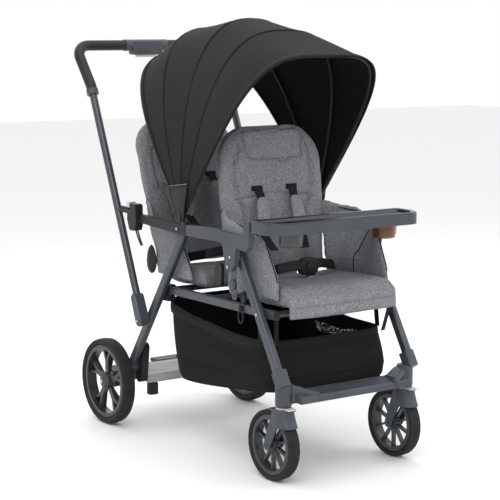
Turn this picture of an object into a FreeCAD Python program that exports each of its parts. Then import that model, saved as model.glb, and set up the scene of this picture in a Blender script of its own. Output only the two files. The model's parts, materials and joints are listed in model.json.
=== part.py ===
import FreeCAD, Part
import math
import os

V = FreeCAD.Vector

# Sit-and-stand tandem stroller. Millimetres; +X to one side, -Y to the front, +Z up, wheels on Z = 0.
# The design is drawn about Y = 0 between the axles, and moved at the end so that the middle of its
# overall length is the origin.

# wheels
REAR_WHEEL_D = 254.0
REAR_TYRE_W = 40.0
REAR_TYRE_T = 19.0
REAR_TRACK = 500.0
REAR_AXLE_Y = 364.0
AXLE_R = 6.0
FRONT_WHEEL_D = 188.0
FRONT_TYRE_W = 35.0
FRONT_TYRE_T = 14.0
FRONT_TRACK = 408.0
FRONT_AXLE_Y = -404.0
CASTER_TRAIL = 42.0
FRONT_AXLE_R = 4.0
RUN_GAP = 0.05
PLAY = 0.3

# tubes: width along X, depth in the side view
LEG_WIDE = 20.0
LEG_DEEP = 26.0
TUBE_WALL = 1.6
TUBE_ROUND = 6.0
RAIL_WIDE = 18.0
RAIL_DEEP = 24.0
PUSH_R = 11.0
GRIP_R = 15.5

# side planes, as distances from the middle
REAR_LEG_X = 218.0
FRONT_LEG_X = 217.0
SEAT_RAIL_X = 195.0
ARM_X = 240.0
ARM_WIDE = 16.0
PUSH_X = 243.0

# pivots in the side view, as (y, z)
APEX = (-20.0, 620.0)
LEG_TOP = (-273.0, 572.0)
RAIL_PIVOT = (-357.0, 430.0)
PUSH_PIVOT = (177.0, 335.0)
REAR_LEG_RAKE = 34.6
REAR_LEG_LENGTH = 565.0
FRONT_LEG_RAKE = 30.7
FRONT_LEG_LENGTH = 338.0
PUSH_RAKE = 22.7
PUSH_LEG_LENGTH = 712.0
RAIL_FRONT_Y = -402.0
RAIL_REAR_Y = 125.0
BOLT_R = 4.0

# handle
HANDLE_RAKE = 38.0
HANDLE_RISE = 150.0
HANDLE_BEND = 45.0
HUB_HALF = 74.0
HUB_R = 21.0
COLLAR_LOW = 26.0
COLLAR_LONG = 17.0

# brace between armrest and seat rail
BRACE_TOP = (-262.0, 545.0)
BRACE_MID = (-261.0, 497.0)
BRACE_LOW = (-262.0, 466.0)
BRACE_R = 11.0
BRACE_T = 1.6

# platform behind the rear seat
PLATFORM_TOP = 160.0
PLATFORM_T = 20.0
PLATFORM_FRONT_Y = 235.0
PLATFORM_REAR_Y = 385.0
PLATFORM_HALF = 186.0
BRAKE_PIVOT = (404.0, 150.0)

# tray
TRAY_HALF = 248.0
TRAY_FRONT_Y = -464.0
TRAY_REAR_Y = -356.0
TRAY_TOP = 674.0
TRAY_DEEP = 30.0
TRAY_RIM = 12.0
TRAY_TRAVEL = 60.0
CUP_X = 155.0
CUP_R = 34.0
CUP_WALL = 3.0
CUP_DEPTH = 64.0

# canopy: bows pivot above the apex
CANOPY_PIVOT = (-20.0, 655.0)
CANOPY_HALF = 229.0
CANOPY_CORNER = 165.0
CANOPY_T = 3.0
CANOPY_TIP = 34.0
PANELS = [(51.5, 553.0), (73.0, 532.0), (91.0, 538.0), (111.0, 548.0), (129.0, 552.0)]
BOWS = [(53.5, 542.0), (73.0, 522.0), (110.0, 540.0), (127.0, 542.0)]
BOW_T = 3.0
BOW_W = 8.0
BOW_STEP = 3.6
BOW_OUTER_X = 224.0

# soft goods
SEAT_HALF = 184.0
PAD_T = 42.0
BASKET_HALF = 203.0
BASKET_T = 3.0


def along(start, rake, distance):
    """Point at a distance from start on a line leaning rake degrees towards +Y from straight up."""
    lean = math.radians(rake)
    return (start[0] + distance * math.sin(lean), start[1] + distance * math.cos(lean))


def bar(x, low, high, wide, deep, rounding, wall=0.0):
    """Straight rounded bar or tube at one X, between two side-view points."""
    rise = V(0, high[0] - low[0], high[1] - low[1])
    solid = Part.makeBox(wide, deep, rise.Length, V(-wide / 2, -deep / 2, 0))
    if rounding:
        solid = solid.makeFillet(rounding, [e for e in solid.Edges if abs(e.tangentAt(0).z) > 0.9])
    if wall:
        inner_round = max(rounding - wall, 0.5)
        bore = Part.makeBox(wide - 2 * wall, deep - 2 * wall, rise.Length,
                            V(-wide / 2 + wall, -deep / 2 + wall, 0))
        bore = bore.makeFillet(inner_round, [e for e in bore.Edges if abs(e.tangentAt(0).z) > 0.9])
        solid = solid.cut(bore)
    solid.Placement = FreeCAD.Placement(V(x, low[0], low[1]), FreeCAD.Rotation(V(0, 0, 1), rise))
    return solid


def rod(x0, x1, centre, radius):
    """Cylinder along X between x0 and x1 at a side-view point."""
    low, high = min(x0, x1), max(x0, x1)
    return Part.makeCylinder(radius, high - low, V(low, centre[0], centre[1]), V(1, 0, 0))


def plate(x0, x1, corners):
    """Side-view outline, corners as (y, z, radius), given thickness between x0 and x1."""
    low, high = min(x0, x1), max(x0, x1)
    return Part.Face(rounded_wire(corners, low)).extrude(V(high - low, 0, 0))


def rounded_wire(corners, x):
    edges = []
    starts = []
    count = len(corners)
    for i in range(count):
        y, z, radius = corners[i]
        here = V(x, y, z)
        before = V(x, *corners[i - 1][:2]) - here
        after = V(x, *corners[(i + 1) % count][:2]) - here
        before.normalize()
        after.normalize()
        if not radius:
            starts.append((here, here, None))
            continue
        half = before.getAngle(after) / 2
        reach = radius / math.tan(half)
        middle = before + after
        middle.normalize()
        crown = here + middle * (radius / math.sin(half) - radius)
        starts.append((here + before * reach, here + after * reach, crown))
    for i in range(count):
        first, last, crown = starts[i]
        if crown is not None:
            edges.append(Part.Arc(first, crown, last).toShape())
        following = starts[(i + 1) % count][0]
        if (following - last).Length > 1e-4:
            edges.append(Part.LineSegment(last, following).toShape())
    return Part.Wire(edges)


def hull(x0, x1, circles):
    """Plate around a chain of circles, given as (y, z, radius), each pair joined by its tangents."""
    solid = None
    for (y0, z0, r0), (y1, z1, r1) in zip(circles, circles[1:]):
        distance = math.hypot(y1 - y0, z1 - z0)
        heading = math.atan2(z1 - z0, y1 - y0)
        spread = math.acos((r0 - r1) / distance)
        angles = (heading + spread, heading - spread)
        points = [(y0 + r0 * math.cos(angles[0]), z0 + r0 * math.sin(angles[0]), 0),
                  (y1 + r1 * math.cos(angles[0]), z1 + r1 * math.sin(angles[0]), 0),
                  (y1 + r1 * math.cos(angles[1]), z1 + r1 * math.sin(angles[1]), 0),
                  (y0 + r0 * math.cos(angles[1]), z0 + r0 * math.sin(angles[1]), 0)]
        web = plate(x0, x1, points)
        for circle in ((y0, z0, r0), (y1, z1, r1)):
            web = web.fuse(rod(x0, x1, circle[:2], circle[2]))
        solid = web if solid is None else solid.fuse(web)
    return solid.removeSplitter()


def block(x0, x1, y0, y1, z0, z1, rounding=0.0):
    solid = Part.makeBox(x1 - x0, y1 - y0, z1 - z0, V(x0, y0, z0))
    return solid.makeFillet(rounding, solid.Edges) if rounding else solid


def upright(x, y, z0, z1, radius):
    return Part.makeCylinder(radius, z1 - z0, V(x, y, z0))


def mirrored(shape):
    return shape.mirror(V(0, 0, 0), V(1, 0, 0))


def swept(points, bend, radius):
    """Round bar along straight runs with an elbow of radius bend at each corner."""
    pieces = []
    start = points[0]
    for before, corner, after in zip(points, points[1:], points[2:]):
        back = (before - corner).normalize()
        ahead = (after - corner).normalize()
        half = back.getAngle(ahead) / 2
        reach = bend / math.tan(half)
        first = corner + back * reach
        last = corner + ahead * reach
        middle = corner + (back + ahead).normalize() * (bend / math.sin(half))
        disc = Part.Face(Part.Wire(Part.makeCircle(radius, first, corner - first)))
        pieces.append(Part.makeCylinder(radius, (first - start).Length, start, first - start))
        pieces.append(disc.revolve(middle, (first - middle).cross(last - middle),
                                   180 - 2 * math.degrees(half)))
        start = last
    end = points[-1] - start
    pieces.append(Part.makeCylinder(radius, end.Length, start, end))
    return pieces[0].multiFuse(pieces[1:]).removeSplitter()


def turned(shape, degrees, centre):
    copy = shape.copy()
    copy.rotate(V(0, centre[0], centre[1]), V(1, 0, 0), degrees)
    return copy


nodes = {}


def pair(name, shape):
    """A piece drawn on the +X side, and its mirror image."""
    nodes[name + "_right"] = shape
    nodes[name + "_left"] = mirrored(shape)


def both(name, *shapes):
    """Pieces drawn on the +X side that share a node with their mirror images, as separate solids."""
    nodes[name] = Part.makeCompound([s for shape in shapes for s in (shape, mirrored(shape))])


def group(*shapes):
    """Separate solids of one node."""
    return Part.makeCompound(list(shapes))


# ---------------------------------------------------------------- rear frame
rear_foot = along(APEX, -REAR_LEG_RAKE, -REAR_LEG_LENGTH)
rear_cap = along(APEX, -REAR_LEG_RAKE, LEG_DEEP / 2)
rear_axle = (REAR_AXLE_Y, REAR_WHEEL_D / 2)
leg_inner = REAR_LEG_X - LEG_WIDE / 2
leg_outer = REAR_LEG_X + LEG_WIDE / 2
rear_wheel_inner = REAR_TRACK / 2 - REAR_TYRE_W / 2
rear_leg_core = bar(REAR_LEG_X, rear_foot, rear_cap, LEG_WIDE, LEG_DEEP, TUBE_ROUND)


def rear_leg():
    leg = bar(REAR_LEG_X, rear_foot, rear_cap, LEG_WIDE, LEG_DEEP, TUBE_ROUND, TUBE_WALL)
    for pivot in (APEX, PUSH_PIVOT):
        leg = leg.cut(rod(leg_inner - 1, leg_outer + 1, pivot, BOLT_R))
    return leg


def axle_housing():
    outer = rear_wheel_inner - 1.2
    inner = leg_inner - 12
    body = hull(inner, outer, [(*along(rear_foot, -REAR_LEG_RAKE, 34), 19), (*rear_foot, 20),
                               (*rear_axle, 22), (*BRAKE_PIVOT, 11)])
    body = body.cut(rear_leg_core).cut(rod(inner - 1, outer + 1, rear_axle, AXLE_R + RUN_GAP))
    return body.cut(rod(inner - 1, outer + 1, BRAKE_PIVOT, 5 + RUN_GAP))


def axle():
    reach = REAR_TRACK / 2 + REAR_TYRE_W / 2 + 4
    middle = leg_inner - 12 - PLAY
    return rod(-reach, reach, rear_axle, AXLE_R).fuse(rod(-middle, middle, rear_axle, AXLE_R + 3))


def platform():
    deck = plate(-PLATFORM_HALF, PLATFORM_HALF,
                 [(PLATFORM_FRONT_Y, PLATFORM_TOP - PLATFORM_T - 8, 6),
                  (PLATFORM_FRONT_Y, PLATFORM_TOP, 9),
                  (PLATFORM_REAR_Y, PLATFORM_TOP, 9),
                  (PLATFORM_REAR_Y, PLATFORM_TOP - PLATFORM_T, 6),
                  (PLATFORM_FRONT_Y + 40, PLATFORM_TOP - PLATFORM_T, 6)])
    groove_pitch = 14.0
    groove = 3.0
    count = int((PLATFORM_REAR_Y - PLATFORM_FRONT_Y - 40) / groove_pitch)
    for i in range(count):
        y = PLATFORM_FRONT_Y + 26 + i * groove_pitch
        deck = deck.cut(block(-PLATFORM_HALF + 14, PLATFORM_HALF - 14, y, y + groove,
                              PLATFORM_TOP - 1.5, PLATFORM_TOP + 1))
    return deck


def platform_bracket():
    top = along(APEX, -REAR_LEG_RAKE, -(APEX[1] - 240) / math.cos(math.radians(REAR_LEG_RAKE)))
    body = hull(PLATFORM_HALF + PLAY, leg_inner - PLAY,
                [(top[0] + 4, top[1], 15), (PLATFORM_FRONT_Y + 24, PLATFORM_TOP - 8, 16)])
    return body.cut(axle_housing())


def saddle():
    return block(SEAT_RAIL_X - 12, leg_inner, 96, 132, 398, RAIL_PIVOT[1] - RAIL_DEEP / 2 - 4.5, 2)


def platform_foot():
    return block(PLATFORM_HALF - 34, PLATFORM_HALF - 6, PLATFORM_FRONT_Y + 4, PLATFORM_FRONT_Y + 26,
                 96, PLATFORM_TOP - PLATFORM_T - 8 - PLAY, 3)


def brake():
    reach = rear_wheel_inner - 2
    shaft = rod(-reach, reach, BRAKE_PIVOT, 5)
    pedal = block(-48, 48, BRAKE_PIVOT[0] + 2, BRAKE_PIVOT[0] + 52, BRAKE_PIVOT[1] - 6,
                  BRAKE_PIVOT[1] + 6, 4)
    return shaft.fuse(pedal)


both("rear_legs", rear_leg())
both("axle_housings", axle_housing())
nodes["rear_axle"] = axle()
nodes["standing_platform"] = platform()
both("platform_brackets", platform_bracket(), platform_foot())
both("rail_saddles", saddle())
nodes["brake_pedal"] = brake()
both("rear_leg_bolts",
     rod(leg_inner - 4, ARM_X + ARM_WIDE / 2 + 5, APEX, BOLT_R - RUN_GAP),
     rod(leg_inner - 4, PUSH_X + 19, PUSH_PIVOT, BOLT_R - RUN_GAP))


# ---------------------------------------------------------------- wheels
def ring(x, centre, width, outer_r, inner_r, rounding):
    solid = rod(x - width / 2, x + width / 2, centre, outer_r)
    solid = solid.makeFillet(rounding, [e for e in solid.Edges if e.Length > outer_r * 4])
    return solid.cut(rod(x - width, x + width, centre, inner_r))


def rim(x, centre, width, outer_r, hub_r, bore_r, spokes, spoke_w, forked):
    felloe = ring(x, centre, width, outer_r, outer_r - 12, 2)
    hub = ring(x, centre, width * 0.9, hub_r, bore_r, 3)
    wheel = felloe.fuse(hub)
    reach = outer_r - 7
    fork_at = hub_r + (reach - hub_r) * 0.42
    for i in range(spokes):
        turn = 360.0 / spokes * i
        if forked:
            stem = block(x - 5, x + 5, centre[0] - spoke_w, centre[0] + spoke_w,
                         centre[1] + hub_r - 4, centre[1] + fork_at)
            arms = []
            for side in (-1, 1):
                arm = block(x - 5, x + 5, centre[0] - spoke_w * 0.6, centre[0] + spoke_w * 0.6,
                            centre[1], centre[1] + reach - fork_at + 9)
                arm = turned(arm, side * 24, centre).translated(V(0, 0, fork_at - 4))
                arms.append(arm)
            spoke = stem.multiFuse(arms)
        else:
            spoke = block(x - 6, x + 6, centre[0] - spoke_w / 2, centre[0] + spoke_w / 2,
                          centre[1] + hub_r - 4, centre[1] + reach)
        wheel = wheel.fuse(turned(spoke, turn, centre))
    return wheel.removeSplitter()


rear_rim_r = REAR_WHEEL_D / 2 - REAR_TYRE_T
front_rim_r = FRONT_WHEEL_D / 2 - FRONT_TYRE_T
front_x = FRONT_TRACK / 2
front_axle = (FRONT_AXLE_Y, FRONT_WHEEL_D / 2)
pair("rear_tyre", ring(REAR_TRACK / 2, rear_axle, REAR_TYRE_W, REAR_WHEEL_D / 2,
                       rear_rim_r + RUN_GAP, 14))
pair("rear_rim", rim(REAR_TRACK / 2, rear_axle, REAR_TYRE_W - 8, rear_rim_r, 24, AXLE_R + RUN_GAP,
                     5, 8.0, True))
pair("front_tyre", ring(front_x, front_axle, FRONT_TYRE_W, FRONT_WHEEL_D / 2,
                        front_rim_r + RUN_GAP, 12))
pair("front_rim", rim(front_x, front_axle, FRONT_TYRE_W - 8, front_rim_r, 17,
                      FRONT_AXLE_R + RUN_GAP, 10, 6.0, False))

# ---------------------------------------------------------------- push bar
push_low = along(PUSH_PIVOT, PUSH_RAKE, 22)
push_top = along(PUSH_PIVOT, PUSH_RAKE, PUSH_LEG_LENGTH)
handle = along(push_top, HANDLE_RAKE, HANDLE_RISE)


def push_path(low):
    side = [V(PUSH_X, *low), V(PUSH_X, *push_top), V(PUSH_X, *handle)]
    return side + [V(-p.x, p.y, p.z) for p in reversed(side)]


def push_tube():
    path = push_path(push_low)
    return swept(path, HANDLE_BEND, PUSH_R).cut(swept(path, HANDLE_BEND, PUSH_R - TUBE_WALL))


def grip():
    start = along(push_top, PUSH_RAKE, -COLLAR_LOW + COLLAR_LONG + PLAY)
    before = along(start, PUSH_RAKE, -10)
    corners = [V(PUSH_X, *push_top), V(PUSH_X, *handle)]
    sleeve = swept([V(PUSH_X, *start)] + corners + [V(HUB_HALF + PLAY, *handle)], HANDLE_BEND, GRIP_R)
    core = swept([V(PUSH_X, *before)] + corners + [V(HUB_HALF - 10, *handle)], HANDLE_BEND,
                 PUSH_R + RUN_GAP)
    return sleeve.cut(core)


def clevis():
    top = along(PUSH_PIVOT, PUSH_RAKE, 66)
    body = hull(leg_outer + 1.2, PUSH_X + 14, [(*PUSH_PIVOT, 16), (*top, 14.5)])
    core = Part.makeCylinder(PUSH_R + RUN_GAP, 90, V(PUSH_X, *push_low),
                             V(0, top[0] - push_low[0], top[1] - push_low[1]))
    return body.cut(core).cut(rod(leg_outer, PUSH_X + 30, PUSH_PIVOT, BOLT_R + RUN_GAP))


def grip_collar():
    low = along(push_top, PUSH_RAKE, -COLLAR_LOW)
    heading = V(0, push_top[0] - low[0], push_top[1] - low[1])
    body = Part.makeCylinder(GRIP_R + 2, COLLAR_LONG, V(PUSH_X, *low), heading)
    knob = Part.makeCylinder(5, 9, V(PUSH_X, low[0] + GRIP_R + 3, low[1] + 3), V(0, 1, -0.3))
    core = Part.makeCylinder(PUSH_R + RUN_GAP, 60, V(PUSH_X, *along(low, PUSH_RAKE, -20)), heading)
    return body.fuse(knob).cut(core)


def handle_hub():
    body = rod(-HUB_HALF, HUB_HALF, handle, GRIP_R + 2)
    belly = block(-HUB_HALF + 22, HUB_HALF - 22, handle[0] - HUB_R, handle[0] + HUB_R - 5,
                  handle[1] - HUB_R - 8, handle[1] + GRIP_R, 7)
    button_room = block(-32 - PLAY, 32 + PLAY, handle[0] - 13 - PLAY, handle[0] + 9 + PLAY,
                        handle[1] - HUB_R - 20, handle[1] - HUB_R + 4)
    core = rod(-HUB_HALF - 1, HUB_HALF + 1, handle, PUSH_R + RUN_GAP)
    return body.fuse(belly).cut(core).cut(button_room)


nodes["push_tube"] = push_tube()
both("grips", grip())
both("grip_collars", grip_collar())
nodes["handle_hub"] = handle_hub()
nodes["handle_button"] = block(-32, 32, handle[0] - 13, handle[0] + 9, handle[1] - HUB_R - 15,
                               handle[1] - HUB_R - 2, 3)
both("push_clevises", clevis())

# ---------------------------------------------------------------- armrests, latches and tray
arm_in = ARM_X - ARM_WIDE / 2
arm_out = ARM_X + ARM_WIDE / 2
latch_y = (186.0, 233.0)


def armrest():
    outline = [(-48, 605, 3), (-48, 634, 5), (-170, 638, 60), (-270, 634, 60), (-322, 634, 16),
               (-338, TRAY_TOP - 4, 10), (TRAY_REAR_Y + 0.5, TRAY_TOP - 4, 2),
               (TRAY_REAR_Y + 0.5, TRAY_TOP - TRAY_DEEP + 2, 4), (-352, 604, 12),
               (-338, 592, 12), (-296, 600, 6), (-286, 548, 8), (-270, 533, 6), (-250, 537, 6),
               (-232, 606, 14)]
    arm = plate(arm_in, arm_out, outline)
    for pivot in (LEG_TOP, BRACE_TOP):
        arm = arm.cut(rod(arm_in - 1, arm_out + 1, pivot, BOLT_R))
    return arm


def top_rail():
    rail = plate(arm_in, arm_out - 2, [(-46, 607, 3), (-46, 632, 3), (latch_y[0] - PLAY, 640, 3),
                                       (latch_y[0] - PLAY, 616, 3), (0, 607, 6)])
    return rail.cut(rod(arm_in - 1, arm_out + 1, APEX, BOLT_R + RUN_GAP))


def rail_sleeve():
    body = block(arm_in - 2, arm_out + 2, -58, -34, 602, 641, 2)
    return body.cut(armrest()).cut(top_rail())


def latch():
    front, rear = latch_y
    body = plate(leg_outer + 4, PUSH_X + 14, [(front, 614, 5), (front + 2, 668, 8), (rear, 668, 8),
                                              (rear, 622, 8), (rear - 12, 592, 10), (front + 8, 592, 8)])
    stub_z = 646
    bar_y = PUSH_PIVOT[0] + (stub_z - PUSH_PIVOT[1]) * math.tan(math.radians(PUSH_RAKE))
    tip = bar_y - (PUSH_R + 1.2) / math.cos(math.radians(PUSH_RAKE)) - 4
    stub = Part.makeCylinder(9.5, tip - rear + 4, V(PUSH_X, rear - 4, stub_z), V(0, 1, 0))
    room = block(PUSH_X - 8 - PLAY, PUSH_X + 20, rear - 14, rear + 4, 650 - PLAY, 672)
    return body.fuse(stub).cut(room)


def latch_button():
    rear = latch_y[1]
    return block(PUSH_X - 8, PUSH_X + 13, rear - 13, rear + 3, 650 + 6, 673, 2.5)


def leg_bush():
    """Spacer between the front leg and the armrest bracket."""
    return rod(FRONT_LEG_X + LEG_WIDE / 2 + PLAY, arm_in - PLAY, LEG_TOP, 12).cut(
        rod(arm_in - 10, arm_in + 10, LEG_TOP, BOLT_R + RUN_GAP))


def tray_rim():
    def outline(inset):
        low, high = TRAY_FRONT_Y + inset, TRAY_REAR_Y - inset
        half = TRAY_HALF - inset
        big, small = 46 - inset, 14 - inset / 2
        return [(-half, low, big), (half, low, big), (half, high, small), (-half, high, small)]

    def slab(inset, z0, z1):
        flat = rounded_wire([(p[0], p[1], p[2]) for p in outline(inset)], 0)
        face = Part.Face(flat)
        face.rotate(V(0, 0, 0), V(0, 1, 0), -90)
        face.rotate(V(0, 0, 0), V(0, 0, 1), -90)
        box = face.BoundBox
        face.translate(V(-box.Center.x, (low_y + high_y) / 2 - box.Center.y, z0 - box.ZMin))
        return face.extrude(V(0, 0, z1 - z0))

    low_y, high_y = TRAY_FRONT_Y, TRAY_REAR_Y
    rim_low = TRAY_TOP - TRAY_DEEP
    rim_solid = slab(0, rim_low, TRAY_TOP).cut(slab(TRAY_RIM, rim_low - 1, TRAY_TOP + 1))
    deck = slab(TRAY_RIM + PLAY / 2, TRAY_TOP - 14, TRAY_TOP - 10)
    for side in (-1, 1):
        middle = (TRAY_FRONT_Y + TRAY_REAR_Y) / 2
        deck = deck.cut(upright(side * CUP_X, middle, TRAY_TOP - 30, TRAY_TOP, CUP_R - CUP_WALL))
    return rim_solid, deck


def cup():
    middle = (TRAY_FRONT_Y + TRAY_REAR_Y) / 2
    top = TRAY_TOP - 14 - PLAY
    outer = upright(CUP_X, middle, TRAY_TOP - CUP_DEPTH - CUP_WALL, top, CUP_R)
    return outer.cut(upright(CUP_X, middle, TRAY_TOP - CUP_DEPTH, top + 1, CUP_R - CUP_WALL))


tray_band, tray_deck = tray_rim()
both("armrests", armrest())
both("top_rails", top_rail(), rail_sleeve())
both("fold_latches", latch())
pair("latch_button", latch_button())
nodes["tray_rim"] = tray_band
nodes["tray_deck"] = tray_deck
both("cup_holders", cup())


# ---------------------------------------------------------------- brace
def link(x0, x1, top, low):
    body = hull(x0, x1, [(*top, BRACE_R), (*low, BRACE_R)])
    for pivot in (top, low):
        body = body.cut(rod(x0 - 1, x1 + 1, pivot, BOLT_R + RUN_GAP))
    return body


brace_x = FRONT_LEG_X + LEG_WIDE / 2 + 0.8
both("brace_upper_links", link(brace_x + BRACE_T + 0.2, brace_x + 2 * BRACE_T + 0.2, BRACE_TOP, BRACE_MID))
low_link = link(brace_x, brace_x + BRACE_T, BRACE_MID, BRACE_LOW)
low_pin = rod(SEAT_RAIL_X + RAIL_WIDE / 2 + 2.5, brace_x, BRACE_LOW, 5)
rivet = rod(brace_x, brace_x + 2 * BRACE_T + 1, BRACE_MID, BOLT_R)
both("brace_lower_links", low_link.multiFuse([low_pin, rivet]))


# ---------------------------------------------------------------- canopy
def bow_band(half, reach, corner, thick, foot):
    """Closed outline of a U-shaped band in the X, Z plane, feet at Z = foot."""
    def run(inset):
        h, r, c = half - inset, reach - inset, corner - inset
        s = c * math.sqrt(0.5)
        return [(V(-h, 0, foot), None), (V(-h, 0, r - c), V(-h + c - s, 0, r - c + s)),
                (V(-h + c, 0, r), None), (V(h - c, 0, r), V(h - c + s, 0, r - c + s)),
                (V(h, 0, r - c), None), (V(h, 0, foot), None)]

    def chain(points):
        edges = []
        for (here, crown), (there, _) in zip(points, points[1:]):
            if crown is None:
                edges.append(Part.LineSegment(here, there).toShape())
            else:
                edges.append(Part.Arc(here, crown, there).toShape())
        return edges

    outer, inner = run(0), run(thick)
    edges = chain(outer)
    edges.append(Part.LineSegment(outer[-1][0], inner[-1][0]).toShape())
    back = chain(inner)
    edges += list(reversed(back))
    edges.append(Part.LineSegment(inner[0][0], outer[0][0]).toShape())
    return Part.Wire(Part.__sortEdges__(edges))


def at_canopy(shape, angle):
    """Turns a shape drawn upright at the origin to an angle above the front horizon."""
    copy = shape.copy()
    copy.rotate(V(0, 0, 0), V(1, 0, 0), 90 - angle)
    copy.translate(V(0, CANOPY_PIVOT[0], CANOPY_PIVOT[1]))
    return copy


def canopy_fabric():
    wires = [at_canopy(bow_band(CANOPY_HALF, reach, CANOPY_CORNER, CANOPY_T, CANOPY_TIP), angle)
             for angle, reach in PANELS]
    return Part.makeLoft(wires, True, True)


def bow(index):
    angle, reach = BOWS[index]
    half = BOW_OUTER_X - index * BOW_STEP
    band = Part.Face(bow_band(half, reach, CANOPY_CORNER, BOW_T, 0)).extrude(V(0, BOW_W, 0))
    band.translate(V(0, -BOW_W / 2, 0))
    for side in (-1, 1):
        x = side * (half - BOW_T / 2)
        band = band.fuse(rod(x - BOW_T / 2, x + BOW_T / 2, (0, 0), 8))
    band = band.cut(rod(-300, 300, (0, 0), 3 + RUN_GAP))
    return at_canopy(band, angle)


def canopy_mount():
    inner = BOW_OUTER_X - len(BOWS) * BOW_STEP - 1
    pin = rod(inner, CANOPY_HALF + 1, CANOPY_PIVOT, 3)
    lug = hull(CANOPY_HALF + 1, arm_out - 2, [(*CANOPY_PIVOT, 10), (CANOPY_PIVOT[0], 648, 10)])
    return pin.fuse(lug)


for number in range(len(BOWS)):
    nodes["canopy_bow_%d" % (number + 1)] = bow(number)
nodes["canopy_fabric"] = canopy_fabric()
both("canopy_mounts", canopy_mount())

# ---------------------------------------------------------------- front legs and step
swivel_y = FRONT_AXLE_Y - CASTER_TRAIL
front_foot = along(LEG_TOP, FRONT_LEG_RAKE, -FRONT_LEG_LENGTH)
front_cap = along(LEG_TOP, FRONT_LEG_RAKE, LEG_DEEP / 2)
housing_low = 207.0
STEP_DEPTH = 56.0
STEP_T = 27.0
front_leg_core = bar(FRONT_LEG_X, front_foot, front_cap, LEG_WIDE, LEG_DEEP, TUBE_ROUND)


def front_leg():
    leg = bar(FRONT_LEG_X, front_foot, front_cap, LEG_WIDE, LEG_DEEP, TUBE_ROUND, TUBE_WALL)
    for pivot in (LEG_TOP, RAIL_PIVOT):
        leg = leg.cut(rod(FRONT_LEG_X - 30, FRONT_LEG_X + 30, pivot, BOLT_R + RUN_GAP))
    return leg


def corner_housing():
    socket = bar(FRONT_LEG_X - 3, along(front_foot, FRONT_LEG_RAKE, -30),
                 along(front_foot, FRONT_LEG_RAKE, 14), 30, 38, 8)
    barrel = upright(front_x, swivel_y, housing_low, 262, 22)
    body = socket.fuse(barrel)
    outer = FRONT_LEG_X + LEG_WIDE / 2 + 2
    trim = block(outer, outer + 40, -600, -300, 150, 350)
    floor = block(100, 300, -600, -300, 150, housing_low)
    body = body.cut(front_leg_core).cut(trim).cut(floor)
    return body.cut(upright(front_x, swivel_y, housing_low - 1, 246, 7 + RUN_GAP))


def step():
    half = front_x - 21
    y0 = swivel_y - STEP_DEPTH + 3
    tread = plate(-half, half, [(y0, 213, 5), (y0, 232, 8), (y0 + STEP_DEPTH, 242, 5),
                                (y0 + STEP_DEPTH, 242 - STEP_T, 5)])
    for i in range(5):
        y = y0 + 9 + i * 9
        ridge_z = 230.5 + (y - y0) * 10 / STEP_DEPTH
        tread = tread.cut(block(-half + 20, half - 20, y, y + 3.5, ridge_z, ridge_z + 9))
    return tread.cut(upright(front_x, swivel_y, 200, 280, 22 + PLAY)).cut(
        upright(-front_x, swivel_y, 200, 280, 22 + PLAY))


both("front_legs", front_leg())
nodes["front_step"] = step()
both("seat_rail_bolts", rod(SEAT_RAIL_X, FRONT_LEG_X + LEG_WIDE / 2 + 0.5, RAIL_PIVOT, BOLT_R))
both("armrest_bolts", leg_bush(),
     rod(FRONT_LEG_X - LEG_WIDE / 2 - 3, arm_out + 4, LEG_TOP, BOLT_R - RUN_GAP),
     rod(brace_x, arm_out + 4, BRACE_TOP, BOLT_R - RUN_GAP))

# ---------------------------------------------------------------- casters
cheek_gap = FRONT_TYRE_W / 2 + 1.5
CHEEK_T = 4.5


def fork():
    cheeks = []
    for side in (-1, 1):
        near = front_x + side * cheek_gap
        far = near + side * CHEEK_T
        cheeks.append(hull(near, far, [(swivel_y + 4, 178, 19), (*front_axle, 12)]))
    crown = block(front_x - cheek_gap - CHEEK_T, front_x + cheek_gap + CHEEK_T, swivel_y - 22,
                  swivel_y + 30, 190.5, 197, 0)
    stem = upright(front_x, swivel_y, 190.5, 240, 7)
    body = crown.multiFuse(cheeks + [stem])
    body = body.cut(rod(front_x - 60, front_x + 60, front_axle, FRONT_AXLE_R))
    return body


def swivel_lever():
    disc = upright(front_x, swivel_y, 197.6, 201.4, 21)
    tab = block(front_x - 12, front_x + 12, swivel_y - 38, swivel_y, 197.6, 201.4)
    return disc.fuse(tab).cut(upright(front_x, swivel_y, 190, 210, 7 + PLAY))


def swivel_collar():
    return upright(front_x, swivel_y, 202, 206.4, 20).cut(upright(front_x, swivel_y, 195, 215, 7.05))


def axle_bolt():
    reach = cheek_gap + CHEEK_T + 2
    return rod(front_x - reach, front_x + reach, front_axle, FRONT_AXLE_R - RUN_GAP)


pair("caster_fork", group(fork(), axle_bolt()))
pair("swivel_lever", swivel_lever())
both("corner_housings", corner_housing(), swivel_collar())


# ---------------------------------------------------------------- seat frame and seats
def seat_rail():
    rail = bar(SEAT_RAIL_X, (RAIL_FRONT_Y, RAIL_PIVOT[1]), (RAIL_REAR_Y, RAIL_PIVOT[1]),
               RAIL_WIDE, RAIL_DEEP, 5, TUBE_WALL)
    return rail.cut(rod(SEAT_RAIL_X - 1, SEAT_RAIL_X + 30, RAIL_PIVOT, BOLT_R + RUN_GAP))


rail_core = bar(SEAT_RAIL_X, (RAIL_FRONT_Y, RAIL_PIVOT[1]), (RAIL_REAR_Y, RAIL_PIVOT[1]),
                RAIL_WIDE, RAIL_DEEP, 5)
rail_inner = SEAT_RAIL_X - RAIL_WIDE / 2


def rail_end():
    body = block(rail_inner, leg_inner - 1.5, 86, 136, RAIL_PIVOT[1] - 16, RAIL_PIVOT[1] + 16, 3)
    return body.cut(rail_core)


def cross_tube(y):
    return rod(-rail_inner, rail_inner, (y, RAIL_PIVOT[1]), 9).cut(
        rod(-rail_inner - 1, rail_inner + 1, (y, RAIL_PIVOT[1]), 7.5))


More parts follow.
